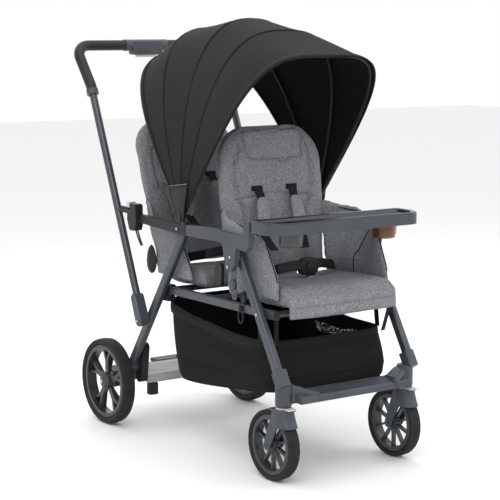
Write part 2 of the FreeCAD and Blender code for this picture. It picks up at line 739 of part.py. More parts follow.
def rail_plug():
    """Cap on the open front end of a rail."""
    return bar(SEAT_RAIL_X, (RAIL_FRONT_Y - 3, RAIL_PIVOT[1]), (RAIL_FRONT_Y, RAIL_PIVOT[1]),
               RAIL_WIDE, RAIL_DEEP, 5)


def brace_tab():
    return hull(SEAT_RAIL_X + 1, SEAT_RAIL_X + 7,
                [(*BRACE_LOW, 9), (BRACE_LOW[0], RAIL_PIVOT[1] + RAIL_DEEP / 2 + 9, 9)])


FRONT_BIGHT = (-150.0, 470.0)
FRONT_TOP = (-104.0, 912.0)
REAR_BIGHT = (186.0, 476.0)
REAR_TOP = (342.0, 914.0)
HUB_AHEAD = 12.0
HUB_ABOVE = 50.0
BUCKLE_TALL = 54.0
pan_low = RAIL_PIVOT[1] + RAIL_DEEP / 2 + 4


def backrest(bight, top, thick):
    """Reclined pad whose front face runs from bight to top."""
    lean = math.atan2(top[0] - bight[0], top[1] - bight[1])
    length = math.hypot(top[0] - bight[0], top[1] - bight[1])
    start = 26.0
    pad = Part.makeBox(2 * SEAT_HALF, thick, length - start, V(-SEAT_HALF, 0, start))
    corner = 70.0
    tall = [e for e in pad.Edges if abs(e.tangentAt(0).y) > 0.9 and e.CenterOfMass.z > length - 5]
    pad = pad.makeFillet(corner, tall)
    pad = pad.makeFillet(9, pad.Edges)
    pad.rotate(V(0, 0, 0), V(1, 0, 0), -math.degrees(lean))
    pad.translate(V(0, bight[0], bight[1]))
    return pad


def front_pan():
    rear = FRONT_BIGHT[0] + 4
    return plate(-SEAT_HALF, SEAT_HALF,
                 [(rear, pan_low, 8), (rear, pan_low + 46, 14), (-300, pan_low + 54, 60),
                  (-420, pan_low + 52, 20), (-454, pan_low + 26, 18), (-452, 404, 9), (-432, 404, 8),
                  (-430, pan_low, 4)])


def rear_pan():
    return plate(-SEAT_HALF + 10, SEAT_HALF - 10,
                 [(REAR_BIGHT[0] - 8, pan_low, 8), (REAR_BIGHT[0] - 8, pan_low + 44, 14),
                  (60, pan_low + 52, 40), (-24, pan_low + 50, 18), (-36, pan_low, 8)])


def recline_hub(bight, outer, big, small):
    """Egg-shaped hub that the backrest turns on, above the rail."""
    centre = (bight[0] + HUB_AHEAD, bight[1] + HUB_ABOVE)
    return hull(SEAT_HALF + 1.5, outer, [(*centre, big), (centre[0], centre[1] - 34, small)])


def shoulder_pad(bight, top, low, high):
    lean = math.degrees(math.atan2(top[0] - bight[0], top[1] - bight[1]))
    pad = block(38, 76, -9, -2, low, high, 3)
    pad.rotate(V(0, 0, 0), V(1, 0, 0), -lean)
    pad.translate(V(0, bight[0], bight[1]))
    return pad


def buckle(y):
    top = pan_low + 54
    strap = block(-13, 13, y - 4, y + 4, top + 1, top + 12, 2)
    body = block(-30, 30, y - 9, y + 9, top + 10, top + BUCKLE_TALL, 5)
    room = upright(0, y, 0, 40, 12 + PLAY)
    room.rotate(V(0, y, 0), V(1, 0, 0), 90)
    room.translate(V(0, 0, top + BUCKLE_TALL / 2 + 5))
    return strap.fuse(body).cut(room)


def buckle_button(y):
    top = pan_low + 54
    knob = upright(0, y, 4, 11.5, 12)
    knob.rotate(V(0, y, 0), V(1, 0, 0), 90)
    knob.translate(V(0, 0, top + BUCKLE_TALL / 2 + 5))
    return knob


front_buckle_y = FRONT_BIGHT[0] - 130
rear_buckle_y = REAR_BIGHT[0] - 120
rail = seat_rail()
nodes["seat_frame"] = group(rail, mirrored(rail), cross_tube(RAIL_FRONT_Y + 12), cross_tube(-90),
                            cross_tube(100))
both("rail_fittings", rail_end(), brace_tab().cut(rail_core), rail_plug())
nodes["front_seat_pan"] = front_pan()
nodes["rear_seat_pan"] = rear_pan()
for name, bight, top in (("front", FRONT_BIGHT, FRONT_TOP), ("rear", REAR_BIGHT, REAR_TOP)):
    strap_pad = shoulder_pad(bight, top, 110, 250)
    nodes[name + "_backrest"] = group(backrest(bight, top, PAD_T), strap_pad, mirrored(strap_pad))
both("front_recline_hubs", recline_hub(FRONT_BIGHT, SEAT_HALF + 11, 16, 13))
both("rear_recline_hubs", recline_hub(REAR_BIGHT, leg_inner - 2, 19, 24))
nodes["front_buckle"] = buckle(front_buckle_y)
nodes["front_buckle_button"] = buckle_button(front_buckle_y)
nodes["rear_buckle"] = buckle(rear_buckle_y)
nodes["rear_buckle_button"] = buckle_button(rear_buckle_y)


# ---------------------------------------------------------------- basket
def basket():
    outer = plate(-BASKET_HALF, BASKET_HALF,
                  [(142, 398, 0), (108, 172, 20), (-272, 184, 60), (-412, 226, 14), (-386, 330, 20),
                   (-372, 362, 0)])
    inset = BASKET_T
    inner = plate(-BASKET_HALF + inset, BASKET_HALF - inset,
                  [(139, 402, 0), (105, 175, 18), (-270, 187, 58), (-408, 229, 12), (-383, 330, 18),
                   (-369, 372, 0)])
    return outer.cut(inner)


nodes["basket"] = basket()

# ---------------------------------------------------------------- origin and files
boxes = [shape.optimalBoundingBox(False, False) for shape in nodes.values()]
low = min(box.YMin for box in boxes)
high = max(box.YMax for box in boxes)
centre_y = (low + high) / 2
os.makedirs("parts", exist_ok=True)
for name, shape in nodes.items():
    placed = shape.copy()
    placed.translate(V(0, -centre_y, 0))
    placed.exportStep("parts/%s.step" % name)
print(len(nodes), "pieces, moved by", round(-centre_y, 3), "along Y, length", round(high - low, 1))
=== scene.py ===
import bpy, bmesh, json, math
import numpy as np
from mathutils import Matrix, Vector, noise
from mathutils.bvhtree import BVHTree


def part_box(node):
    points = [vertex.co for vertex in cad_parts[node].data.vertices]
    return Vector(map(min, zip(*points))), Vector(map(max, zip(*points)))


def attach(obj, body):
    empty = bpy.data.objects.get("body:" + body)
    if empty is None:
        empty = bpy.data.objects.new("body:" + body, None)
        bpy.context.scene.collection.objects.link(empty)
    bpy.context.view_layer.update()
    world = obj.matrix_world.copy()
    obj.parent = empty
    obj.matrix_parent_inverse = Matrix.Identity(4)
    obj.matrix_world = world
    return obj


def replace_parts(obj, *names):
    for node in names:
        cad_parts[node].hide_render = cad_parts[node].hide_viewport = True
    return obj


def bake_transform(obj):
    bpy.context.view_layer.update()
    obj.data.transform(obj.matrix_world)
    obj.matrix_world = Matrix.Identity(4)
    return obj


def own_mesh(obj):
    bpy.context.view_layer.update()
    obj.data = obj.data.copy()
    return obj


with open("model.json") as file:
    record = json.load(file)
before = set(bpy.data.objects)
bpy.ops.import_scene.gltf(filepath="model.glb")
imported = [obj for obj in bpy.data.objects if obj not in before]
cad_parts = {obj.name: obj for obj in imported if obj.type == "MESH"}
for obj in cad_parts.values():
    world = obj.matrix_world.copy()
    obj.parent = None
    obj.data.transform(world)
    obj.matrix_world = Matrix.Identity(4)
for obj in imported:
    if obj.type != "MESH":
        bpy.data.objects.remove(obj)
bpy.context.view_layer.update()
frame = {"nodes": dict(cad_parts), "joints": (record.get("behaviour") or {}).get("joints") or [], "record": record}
scene = bpy.context.scene
hinges = {joint["name"]: Vector(joint["pos_m"]) for joint in frame["joints"] if "pos_m" in joint}
# the stroller is drawn in millimetres from a line 20 mm behind its main pivot
drawnZero = hinges["frame_fold"].y + 0.020


def at(x, y, z):
    return Vector((x / 1000, y / 1000 + drawnZero, z / 1000))


leftRight = (("Left", -1), ("Right", 1))


# ---- materials
finishes = {}


def nodesOf(material):
    material.use_nodes = True
    tree = material.node_tree
    return tree, tree.nodes["Principled BSDF"]


def addNode(tree, kind, inputs=None, **settings):
    node = tree.nodes.new(kind)
    for key, value in settings.items():
        setattr(node, key, value)
    for key, value in (inputs or {}).items():
        node.inputs[key].default_value = value
    return node


def ramp(tree, low, high, lowAt=0.3, highAt=0.7):
    node = tree.nodes.new("ShaderNodeValToRGB")
    node.color_ramp.elements[0].position = lowAt
    node.color_ramp.elements[1].position = highAt
    node.color_ramp.elements[0].color = (*low, 1)
    node.color_ramp.elements[1].color = (*high, 1)
    return node


def setShine(names, level):
    for name in names:
        shader = finishes[name].node_tree.nodes["Principled BSDF"]
        shader.inputs["Specular IOR Level"].default_value = level


def hardFinish(name, dark, light, rough, grain, bumpDepth, metallic=0.0, coat=0.0, blotch=14):
    material = bpy.data.materials.new(name)
    tree, shader = nodesOf(material)
    place = addNode(tree, "ShaderNodeTexCoord")
    cloud = addNode(tree, "ShaderNodeTexNoise", {"Scale": blotch, "Detail": 6})
    fine = addNode(tree, "ShaderNodeTexNoise", {"Scale": grain, "Detail": 3})
    tone = ramp(tree, dark, light)
    gloss = addNode(tree, "ShaderNodeMapRange", {"To Min": rough * 0.82, "To Max": rough * 1.2})
    bump = addNode(tree, "ShaderNodeBump", {"Strength": 0.35, "Distance": bumpDepth})
    for texture in (cloud, fine):
        tree.links.new(place.outputs["Object"], texture.inputs["Vector"])
    tree.links.new(cloud.outputs["Fac"], tone.inputs["Fac"])
    tree.links.new(cloud.outputs["Fac"], gloss.inputs["Value"])
    tree.links.new(fine.outputs["Fac"], bump.inputs["Height"])
    tree.links.new(tone.outputs["Color"], shader.inputs["Base Color"])
    tree.links.new(gloss.outputs["Result"], shader.inputs["Roughness"])
    tree.links.new(bump.outputs["Normal"], shader.inputs["Normal"])
    shader.inputs["Metallic"].default_value = metallic
    shader.inputs["Coat Weight"].default_value = coat
    finishes[name] = material
    return material, tree, shader


def clothFinish(name, dark, light, fleck, threads, sheen, rough=0.9, fleckLow=0.36, fleckHigh=0.64):
    material = bpy.data.materials.new(name)
    tree, shader = nodesOf(material)
    place = addNode(tree, "ShaderNodeTexCoord")
    flecks = addNode(tree, "ShaderNodeTexNoise", {"Scale": fleck, "Detail": 5, "Roughness": 0.75})
    cloud = addNode(tree, "ShaderNodeTexNoise", {"Scale": 9, "Detail": 3})
    tone = ramp(tree, dark, light, fleckLow, fleckHigh)
    shade = addNode(tree, "ShaderNodeMapRange", {"To Min": 0.86, "To Max": 1.08})
    shaded = addNode(tree, "ShaderNodeVectorMath", operation="SCALE")
    weave = []
    for axis in ("X", "Y", "Z"):
        weave.append(addNode(tree, "ShaderNodeTexWave", {"Scale": threads, "Distortion": 1.5, "Detail": 1},
                             bands_direction=axis))
    cross = addNode(tree, "ShaderNodeMath", operation="MULTIPLY")
    both = addNode(tree, "ShaderNodeMath", operation="ADD")
    bump = addNode(tree, "ShaderNodeBump", {"Strength": 0.5, "Distance": 0.0007})
    for texture in (flecks, cloud, *weave):
        tree.links.new(place.outputs["Object"], texture.inputs["Vector"])
    tree.links.new(flecks.outputs["Fac"], tone.inputs["Fac"])
    tree.links.new(cloud.outputs["Fac"], shade.inputs["Value"])
    tree.links.new(tone.outputs["Color"], shaded.inputs[0])
    tree.links.new(shade.outputs["Result"], shaded.inputs["Scale"])
    tree.links.new(weave[0].outputs["Fac"], cross.inputs[0])
    tree.links.new(weave[2].outputs["Fac"], cross.inputs[1])
    tree.links.new(cross.outputs[0], both.inputs[0])
    tree.links.new(weave[1].outputs["Fac"], both.inputs[1])
    tree.links.new(both.outputs[0], bump.inputs["Height"])
    tree.links.new(shaded.outputs["Vector"], shader.inputs["Base Color"])
    tree.links.new(bump.outputs["Normal"], shader.inputs["Normal"])
    shader.inputs["Roughness"].default_value = rough
    shader.inputs["Sheen Weight"].default_value = sheen
    shader.inputs["Sheen Roughness"].default_value = 0.5
    finishes[name] = material
    return material, tree, shader


hardFinish("slatePaint", (0.042, 0.050, 0.059), (0.058, 0.067, 0.079), 0.34, 900, 0.00012, 0.35, 0.25)
hardFinish("slateMoulding", (0.042, 0.049, 0.058), (0.056, 0.065, 0.076), 0.42, 1100, 0.00018)
hardFinish("blackMoulding", (0.008, 0.008, 0.009), (0.016, 0.016, 0.018), 0.45, 1500, 0.00025)
hardFinish("paleMoulding", (0.42, 0.43, 0.42), (0.52, 0.53, 0.51), 0.4, 900, 0.00015)
hardFinish("tyreRubber", (0.010, 0.010, 0.011), (0.022, 0.022, 0.024), 0.72, 700, 0.0005, 0, 0, 40)
hardFinish("rimMoulding", (0.020, 0.022, 0.026), (0.032, 0.034, 0.039), 0.38, 900, 0.0002)
hardFinish("gripLeather", (0.006, 0.006, 0.007), (0.016, 0.015, 0.016), 0.5, 420, 0.0009)
hardFinish("zincSteel", (0.42, 0.42, 0.43), (0.58, 0.58, 0.6), 0.32, 1200, 0.0002, 1.0)
hardFinish("trayGloss", (0.010, 0.011, 0.013), (0.018, 0.020, 0.023), 0.24, 500, 0.00006, 0, 0.6)
hardFinish("deckRib", (0.25, 0.26, 0.27), (0.33, 0.34, 0.35), 0.55, 800, 0.0004)
setShine(("trayGloss", "tyreRubber"), 0.25)
setShine(("blackMoulding",), 0.3)
setShine(("gripLeather", "slatePaint", "slateMoulding"), 0.35)
amber = hardFinish("amberPlastic", (0.28, 0.12, 0.035), (0.36, 0.17, 0.06), 0.12, 300, 0.00005)[2]
amber.inputs["Transmission Weight"].default_value = 0.75
amber.inputs["IOR"].default_value = 1.46
clothFinish("canopyCloth", (0.011, 0.0095, 0.010), (0.019, 0.0165, 0.018), 700, 420, 0.04, 0.8)
clothFinish("canopyLining", (0.004, 0.004, 0.005), (0.008, 0.008, 0.009), 500, 420, 0.01)
clothFinish("seatMelange", (0.085, 0.090, 0.099), (0.30, 0.313, 0.33), 270, 380, 0.08)
clothFinish("seatEdging", (0.010, 0.010, 0.011), (0.020, 0.020, 0.022), 500, 300, 0.02)
clothFinish("basketCloth", (0.006, 0.006, 0.007), (0.013, 0.013, 0.014), 500, 360, 0.02)
clothFinish("webbing", (0.006, 0.006, 0.007), (0.014, 0.014, 0.015), 420, 260, 0.03, 0.75)
clothFinish("pocketCloth", (0.022, 0.020, 0.022), (0.052, 0.048, 0.050), 420, 300, 0.05)

slotFinish = {"slate": "slatePaint", "slate_plastic": "slateMoulding", "black_plastic": "blackMoulding",
              "pale_plastic": "paleMoulding", "tyre": "tyreRubber", "rim": "rimMoulding",
              "grip": "gripLeather", "steel": "zincSteel", "tray_top": "trayGloss",
              "amber": "amberPlastic", "canopy": "canopyCloth", "seat": "seatMelange",
              "basket": "basketCloth", "deck": "deckRib"}
for part in frame["record"]["subparts"]:
    mesh = frame["nodes"][part["node"]].data
    mesh.materials.clear()
    mesh.materials.append(finishes[slotFinish[part["material_slot"]]])
print("materials made")


# ---- shared ways of making a piece
def squared(value, power):
    # a sine or cosine drawn towards 1, which squares off a round
    return math.copysign(abs(value) ** power, value)


def ringTurns(count):
    return np.linspace(0, 2 * math.pi, count + 1)[:-1]


def finishPiece(name, bm, finish, body=None, smooth=True, recalc=False):
    if recalc:
        bmesh.ops.remove_doubles(bm, verts=bm.verts, dist=1e-6)
        bmesh.ops.recalc_face_normals(bm, faces=bm.faces)
    mesh = bpy.data.meshes.new(name)
    bm.to_mesh(mesh)
    bm.free()
    piece = bpy.data.objects.new(name, mesh)
    scene.collection.objects.link(piece)
    mesh.materials.append(finishes[finish])
    for face in mesh.polygons:
        face.use_smooth = smooth
    if body:
        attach(piece, body)
    return piece


def bakeModifiers(piece):
    bpy.context.view_layer.update()
    evaluated = piece.evaluated_get(bpy.context.evaluated_depsgraph_get())
    old = piece.data
    piece.data = bpy.data.meshes.new_from_object(evaluated)
    piece.data.name = piece.name
    piece.modifiers.clear()
    bpy.data.meshes.remove(old)
    return piece


def thicken(piece, thickness, offset=-1):
    wall = piece.modifiers.new("wall", "SOLIDIFY")
    wall.thickness = thickness
    wall.offset = offset
    return wall


def refine(piece, levels):
    finer = piece.modifiers.new("finer", "SUBSURF")
    finer.levels = finer.render_levels = levels


def loft(rows, closed=False):
    # each row of points is extruded from the one before
    bm = bmesh.new()
    verts = [bm.verts.new(point) for point in rows[0]]
    edges = [bm.edges.new(pair) for pair in zip(verts, verts[1:])]
    if closed:
        edges.append(bm.edges.new((verts[-1], verts[0])))
    for row in rows[1:]:
        grown = bmesh.ops.extrude_edge_only(bm, edges=edges)
        edges = [item for item in grown["geom"] if isinstance(item, bmesh.types.BMEdge)]
        links = {}
        for edge in edges:
            for vert in edge.verts:
                links.setdefault(vert, []).append(edge)
        newVerts = []
        for vert in verts:
            newVerts.append(next(edge.other_vert(vert) for edge in vert.link_edges
                                 if edge.other_vert(vert) in links))
        for vert, point in zip(newVerts, row):
            vert.co = point
        verts = newVerts
    return bm


def tube(name, points, radius, finish, body=None, cyclic=False, sides=2, order=3):
    curve = bpy.data.curves.new(name, "CURVE")
    curve.dimensions = "3D"
    curve.bevel_depth = radius
    curve.bevel_resolution = sides
    curve.use_fill_caps = True
    spline = curve.splines.new("NURBS")
    spline.points.add(len(points) - 1)
    for knot, point in zip(spline.points, points):
        knot.co = (*point, 1)
    spline.order_u = order
    spline.use_endpoint_u = not cyclic
    spline.use_cyclic_u = cyclic
    spline.resolution_u = 4
    holder = bpy.data.objects.new(name + "Line", curve)
    scene.collection.objects.link(holder)
    bpy.context.view_layer.update()
    mesh = bpy.data.meshes.new_from_object(holder.evaluated_get(bpy.context.evaluated_depsgraph_get()))
    bpy.data.objects.remove(holder)
    mesh.name = name
    mesh.materials.clear()
    mesh.materials.append(finishes[finish])
    piece = bpy.data.objects.new(name, mesh)
    scene.collection.objects.link(piece)
    for face in mesh.polygons:
        face.use_smooth = True
    if body:
        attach(piece, body)
    return piece


def smoothLine(points, count):
    # points evenly spread on the curve through a few chosen ones
    knots = [Vector(point) for point in points]
    dense = []
    for i in range(len(knots) - 1):
        before, here = knots[max(i - 1, 0)], knots[i]
        there, after = knots[i + 1], knots[min(i + 2, len(knots) - 1)]
        for step in range(20):
            t = step / 20
            dense.append(0.5 * (2 * here + (there - before) * t
                                + (2 * before - 5 * here + 4 * there - after) * t * t
                                + (3 * here - before - 3 * there + after) * t ** 3))
    dense.append(knots[-1])
    lengths = [0.0]
    for a, b in zip(dense, dense[1:]):
        lengths.append(lengths[-1] + (b - a).length)
    line = []
    j = 0
    for i in range(count):
        want = lengths[-1] * i / (count - 1)
        while j < len(lengths) - 2 and lengths[j + 1] < want:
            j += 1
        span = max(lengths[j + 1] - lengths[j], 1e-9)
        line.append(dense[j].lerp(dense[j + 1], (want - lengths[j]) / span))
    return line


def strap(name, points, width, thick, side, body, finish="webbing", count=24):
    line = smoothLine(points, count)
    half = Vector(side).normalized() * width / 2
    rows = [[point - half, point - half * 0.5, point, point + half * 0.5, point + half] for point in line]
    piece = finishPiece(name, loft(rows), finish, None)
    thicken(piece, thick, 0)
    edge = piece.modifiers.new("edge", "BEVEL")
    edge.width = thick * 0.3
    edge.segments = 2
    bakeModifiers(piece)
    if body:
        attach(piece, body)
    return piece


def spun(name, profile, centre, finish, body, steps=48, lugs=None):
    # profile of (x, radius) about an axle along X
    bm = bmesh.new()
    verts = [bm.verts.new((centre.x + x, centre.y, centre.z + radius)) for x, radius in profile]
    edges = [bm.edges.new(pair) for pair in zip(verts, verts[1:])]
    bmesh.ops.spin(bm, geom=verts + edges, cent=centre, axis=(1, 0, 0), dvec=(0, 0, 0),
                   angle=2 * math.pi, steps=steps, use_merge=True, use_duplicate=False)
    bmesh.ops.remove_doubles(bm, verts=bm.verts, dist=1e-6)
    bmesh.ops.recalc_face_normals(bm, faces=bm.faces)
    if lugs:
        blocks = []
        for face in bm.faces:
            middle = face.calc_center_median() - centre
            radius = math.hypot(middle.y, middle.z)
            if radius > lugs["inside"]:
                blocks.append(face)
        bmesh.ops.inset_individual(bm, faces=blocks, thickness=lugs["gap"], depth=lugs["rise"])
    return finishPiece(name, bm, finish, body)


# ---- soft pads
swelling = {"quality": 4, "mass": 0.25, "tension_stiffness": 12, "compression_stiffness": 12,
            "bending_stiffness": 0.4, "frames": 20}


def padMesh(piece, voxel):
    remesh = piece.modifiers.new("even", "REMESH")
    remesh.mode = "VOXEL"
    remesh.voxel_size = voxel
    bakeModifiers(piece)


def puff(piece, voxel=0.0055, pressure=4.0, cap=0.009):
    padMesh(piece, voxel)
    start = np.array([vert.co for vert in piece.data.vertices])
    cloth = piece.modifiers.new("swell", "CLOTH")
    cloth.settings.use_pressure = True
    cloth.settings.uniform_pressure_force = pressure
    cloth.settings.effector_weights.gravity = 0
    for key in ("quality", "mass", "tension_stiffness", "compression_stiffness", "bending_stiffness"):
        setattr(cloth.settings, key, swelling[key])
    cloth.point_cache.frame_start = 1
    cloth.point_cache.frame_end = swelling["frames"]
    for number in range(1, swelling["frames"] + 1):
        scene.frame_set(number)
    evaluated = piece.evaluated_get(bpy.context.evaluated_depsgraph_get())
    swollen = np.array([vert.co for vert in evaluated.data.vertices])
    piece.modifiers.clear()
    scene.frame_set(1)
    move = swollen - start
    far = np.linalg.norm(move, axis=1)
    share = np.minimum(1, cap / np.maximum(far, 1e-9))
    piece.data.vertices.foreach_set("co", (start + move * share[:, None]).ravel())
    piece.data.update()
    refine(piece, 1)
    bakeModifiers(piece)
    for face in piece.data.polygons:
        face.use_smooth = True


def press(piece, line, depth, width):
    # a sewn channel: the surface sinks along a line of points
    mesh = piece.data
    places = np.array([vert.co for vert in mesh.vertices])
    normals = np.array([vert.normal for vert in mesh.vertices])
    nearest = np.full(len(places), 1e9)
    for a, b in zip(line, line[1:]):
        start, run = np.array(a), np.array(b) - np.array(a)
        share = np.clip((places - start) @ run / max(run @ run, 1e-12), 0, 1)
        nearest = np.minimum(nearest, np.linalg.norm(places - start - share[:, None] * run, axis=1))
    sink = depth * np.exp(-(nearest / width) ** 2)
    mesh.vertices.foreach_set("co", (places - normals * sink[:, None]).ravel())
    mesh.update()


def rumple(piece, size, rise, stretch=(1, 1, 1), seed=0.0):
    mesh = piece.data
    for vert, normal in zip(mesh.vertices, [Vector(v.normal) for v in mesh.vertices]):
        spot = Vector((vert.co.x * stretch[0], vert.co.y * stretch[1], vert.co.z * stretch[2])) / size
        vert.co += normal * rise * noise.noise(spot + Vector((seed, seed, seed)))
    mesh.update()


def lieOn(piece, line, lift=0.0005):
    tree = BVHTree.FromPolygons([v.co for v in piece.data.vertices],
                                [p.vertices for p in piece.data.polygons])
    laid = []
    for point in line:
        spot, normal, face, distance = tree.find_nearest(point)
        laid.append(spot + normal * lift)
    return laid


# ---- canopy
canopy = {"pivot": hinges["canopy_fold"], "tip": 0.030, "across": 72, "along": 60, "thick": 0.0016,
          # angle above the front horizon, reach, half width, squareness
          "ribs": [(51.2, 0.556, 0.232, 4.1), (72.8, 0.524, 0.233, 2.9), (90.6, 0.533, 0.238, 2.4),
                   (111.4, 0.545, 0.237, 2.7), (129, 0.553, 0.236, 3.1)],
          "hollow": 1.0, "bows": [52.6, 72.8, 111.4, 127.6], "bowInset": 0.0045}


def ribAt(angle):
    ribs = canopy["ribs"]
    for low, high in zip(ribs, ribs[1:]):
        if angle <= high[0] or high is ribs[-1]:
            share = min(max((angle - low[0]) / (high[0] - low[0]), 0), 1)
            reach, half, square = (a + (b - a) * share for a, b in zip(low[1:], high[1:]))
            # cloth pulled between two ribs runs inside the arc through them
            drop = 1 - math.cos(math.radians(high[0] - low[0]) / 2)
            reach *= 1 - canopy["hollow"] * drop * math.sin(math.pi * share)
            return reach, half, square


def canopyPoint(angle, turn, inset=0.0):
    reach, half, square = ribAt(angle)
    side, up = math.cos(turn), math.sin(turn)
    x = (half - inset) * squared(side, 2 / square)
    radius = canopy["tip"] + (reach - inset - canopy["tip"]) * abs(up) ** (2 / square)
    lean = math.radians(angle)
    return canopy["pivot"] + Vector((x, -radius * math.cos(lean), radius * math.sin(lean)))


def canopyLine(angle, count=72, inset=0.0, start=0.0):
    # evenly spread points from one foot of a rib over the top to the other
    dense = [canopyPoint(angle, start + (math.pi - 2 * start) * i / 400, inset) for i in range(401)]
    lengths = [0.0]
    for a, b in zip(dense, dense[1:]):
        lengths.append(lengths[-1] + (b - a).length)
    line, j = [], 0
    for i in range(count):
        want = lengths[-1] * i / (count - 1)
        while j < 399 and lengths[j + 1] < want:
            j += 1
        share = (want - lengths[j]) / max(lengths[j + 1] - lengths[j], 1e-9)
        line.append(dense[j].lerp(dense[j + 1], min(share, 1)))
    return line


def foldWithCanopy(piece):
    rear = canopyPoint(canopy["bows"][3], math.pi / 2)
    front = canopyPoint(canopy["bows"][0], math.pi / 2)
    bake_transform(piece)


def makeCanopy():
    first, last = canopy["ribs"][0][0], canopy["ribs"][-1][0]
    rows = [canopyLine(first + (last - first) * i / canopy["along"], canopy["across"])
            for i in range(canopy["along"] + 1)]
    bm = loft(rows)
    bmesh.ops.recalc_face_normals(bm, faces=bm.faces)
    middle = sum((face.normal.z for face in bm.faces if abs(face.calc_center_median().x) < 0.05))
    if middle < 0:
        bmesh.ops.reverse_faces(bm, faces=bm.faces)
    shell = finishPiece("canopyCover", bm, "canopyCloth", None)
    shell.data.materials.append(finishes["canopyLining"])
    rumple(shell, 0.11, 0.0022, (1, 1, 0.35), 3.1)
    thicken(shell, canopy["thick"]).material_offset = 1
    refine(shell, 1)
    bakeModifiers(shell)
    foldWithCanopy(shell)
    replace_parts(shell, "canopy_fabric")
    for number, angle in enumerate((72.8, 90.6, 111.4)):
        for edge, shift in enumerate((-0.28, 0.28)):
            line = canopyLine(angle + shift, 60, -0.0008, 0.02)
            piping = tube(f"canopySeam{number + 1}{'ab'[edge]}", line, 0.0009, "canopyCloth", None)
            foldWithCanopy(piping)
    for name, angle, width in (("canopyHem", 52.4, 1.2), ("canopyRearHem", 127.8, 1.2)):
        rows = [canopyLine(angle + width * side, 72, inset, 0.0)
                for side, inset in ((-1, -0.0005), (-1, -0.0022), (0, -0.0032), (1, -0.0022), (1, -0.0005))]
        hem = finishPiece(name, loft(rows), "canopyCloth", None)
        thicken(hem, 0.002)
        bakeModifiers(hem)
        foldWithCanopy(hem)
    width = max(sum((b - a).length for a, b in zip(line, line[1:]))
                for line in (canopyLine(90.6), canopyLine(111.4)))


def makeBows():
    riders = ("canopy_front_bow", "canopy_second_bow", "canopy_third_bow", "armrest")
    for number, (angle, body) in enumerate(zip(canopy["bows"], riders)):
        inset = canopy["bowInset"] + 0.001 * number
        line = canopyLine(angle, 64, inset, 0.03)
        first = Vector((line[0].x, canopy["pivot"].y, canopy["pivot"].z))
        last = Vector((line[-1].x, canopy["pivot"].y, canopy["pivot"].z))
        bow = tube(f"canopyBow{number + 1}", [first, *line[2:-2], last], 0.0042, "blackMoulding", body)
        for side, foot in enumerate((first, last)):
            profile = [(-0.003, 0.0015), (-0.003, 0.0084), (0.003, 0.0084), (0.003, 0.0015)]
            eye = spun(f"canopyBowEye{number + 1}{'RL'[side]}", profile, foot, "blackMoulding", body,
                       20)
            eye.parent = bow
        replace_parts(bow, f"canopy_bow_{number + 1}")


def makePockets():
    # sewn pocket that holds the bow ends at each side, pointed at the pivot
    pocket = {"spread": (64, 132), "rise": 0.084, "drop": 0.028, "lift": 0.0035, "rows": 14}
    for side, sign in leftRight:
        rows = []
        low, high = pocket["spread"]
        for i in range(pocket["rows"] + 1):
            share = i / pocket["rows"]
            reach = -pocket["drop"] + (pocket["rise"] + pocket["drop"]) * share
            wide = 0.006 + 0.040 * share ** 0.85
            bulge = math.sin(math.pi * min(share * 1.05, 1)) * 0.003
            row = []
            for j in range(13):
                across = j / 6 - 1
                lean = math.radians((low + high) / 2)
                up = Vector((0, -math.cos(lean), math.sin(lean)))
                cross = Vector((0, math.sin(lean), math.cos(lean)))
                crown = (1 - across * across) * 0.002
                skin = 0.2355 + pocket["lift"] + bulge + crown - 0.002 * abs(across) ** 4
                row.append(canopy["pivot"] + up * reach + cross * across * wide + Vector((sign * skin, 0, 0)))
            rows.append(row)
        bm = loft(rows)
        bmesh.ops.recalc_face_normals(bm, faces=bm.faces)
        cloth = finishPiece(f"canopyPocket{side}", bm, "pocketCloth", None)
        thicken(cloth, 0.0022, 0)
        refine(cloth, 1)
        bakeModifiers(cloth)
        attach(cloth, "armrest")
        edge = [row[0] for row in reversed(rows)] + [row[-1] for row in rows]
        tube(f"canopyPocketStitch{side}", [p + Vector((sign * 0.002, 0, 0)) for p in edge[::2]],
             0.0009, "pocketCloth", "armrest")
        top = [point + Vector((sign * 0.0025, 0, 0)) for point in rows[-1]]
        for row in range(2):
            tube(f"canopyPocketHem{side}{row + 1}", [p - Vector((0, 0, 0.006 * row)) for p in top], 0.0009,
                 "seatMelange" if row == 0 else "pocketCloth", "armrest")


makeCanopy()
makeBows()
makePockets()
print("canopy made")


# ---- seats
seat = {"half": 0.184, "voxel": 0.0055}


def slab(name, outline, thick, spread, finish="seatMelange"):
    # a flat pad: outline in its own plane, extruded and rounded before it is swollen
    bm = bmesh.new()
    verts = [bm.verts.new(point) for point in outline]
    face = bm.faces.new(verts)
    grown = bmesh.ops.extrude_face_region(bm, geom=[face])
    moved = [item for item in grown["geom"] if isinstance(item, bmesh.types.BMVert)]
    bmesh.ops.translate(bm, vec=thick, verts=moved)
    bmesh.ops.recalc_face_normals(bm, faces=bm.faces)
    rims = [edge for edge in bm.edges if len({v in moved for v in edge.verts}) == 1]
    bmesh.ops.bevel(bm, geom=rims, offset=spread, offset_type="OFFSET", affect="EDGES", segments=3,
                    profile=0.5, material=-1, clamp_overlap=True)
    return finishPiece(name, bm, finish, None)


def roundedOutline(corners, steps=7):
    # corners as (across, up, radius)
    points = []
    count = len(corners)
    for i, (a, b, radius) in enumerate(corners):
        here = Vector((a, b))
        back = (Vector(corners[i - 1][:2]) - here).normalized()
        ahead = (Vector(corners[(i + 1) % count][:2]) - here).normalized()
        half = back.angle(ahead) / 2
        reach = radius / math.tan(half)
        middle = here + (back + ahead).normalized() * (radius / math.sin(half))
        first = here + back * reach - middle
        last = here + ahead * reach - middle
        for k in range(steps + 1):
            turned = first.slerp(last, k / steps, first) * 1.0
            points.append(middle + turned.normalized() * radius)
    return points


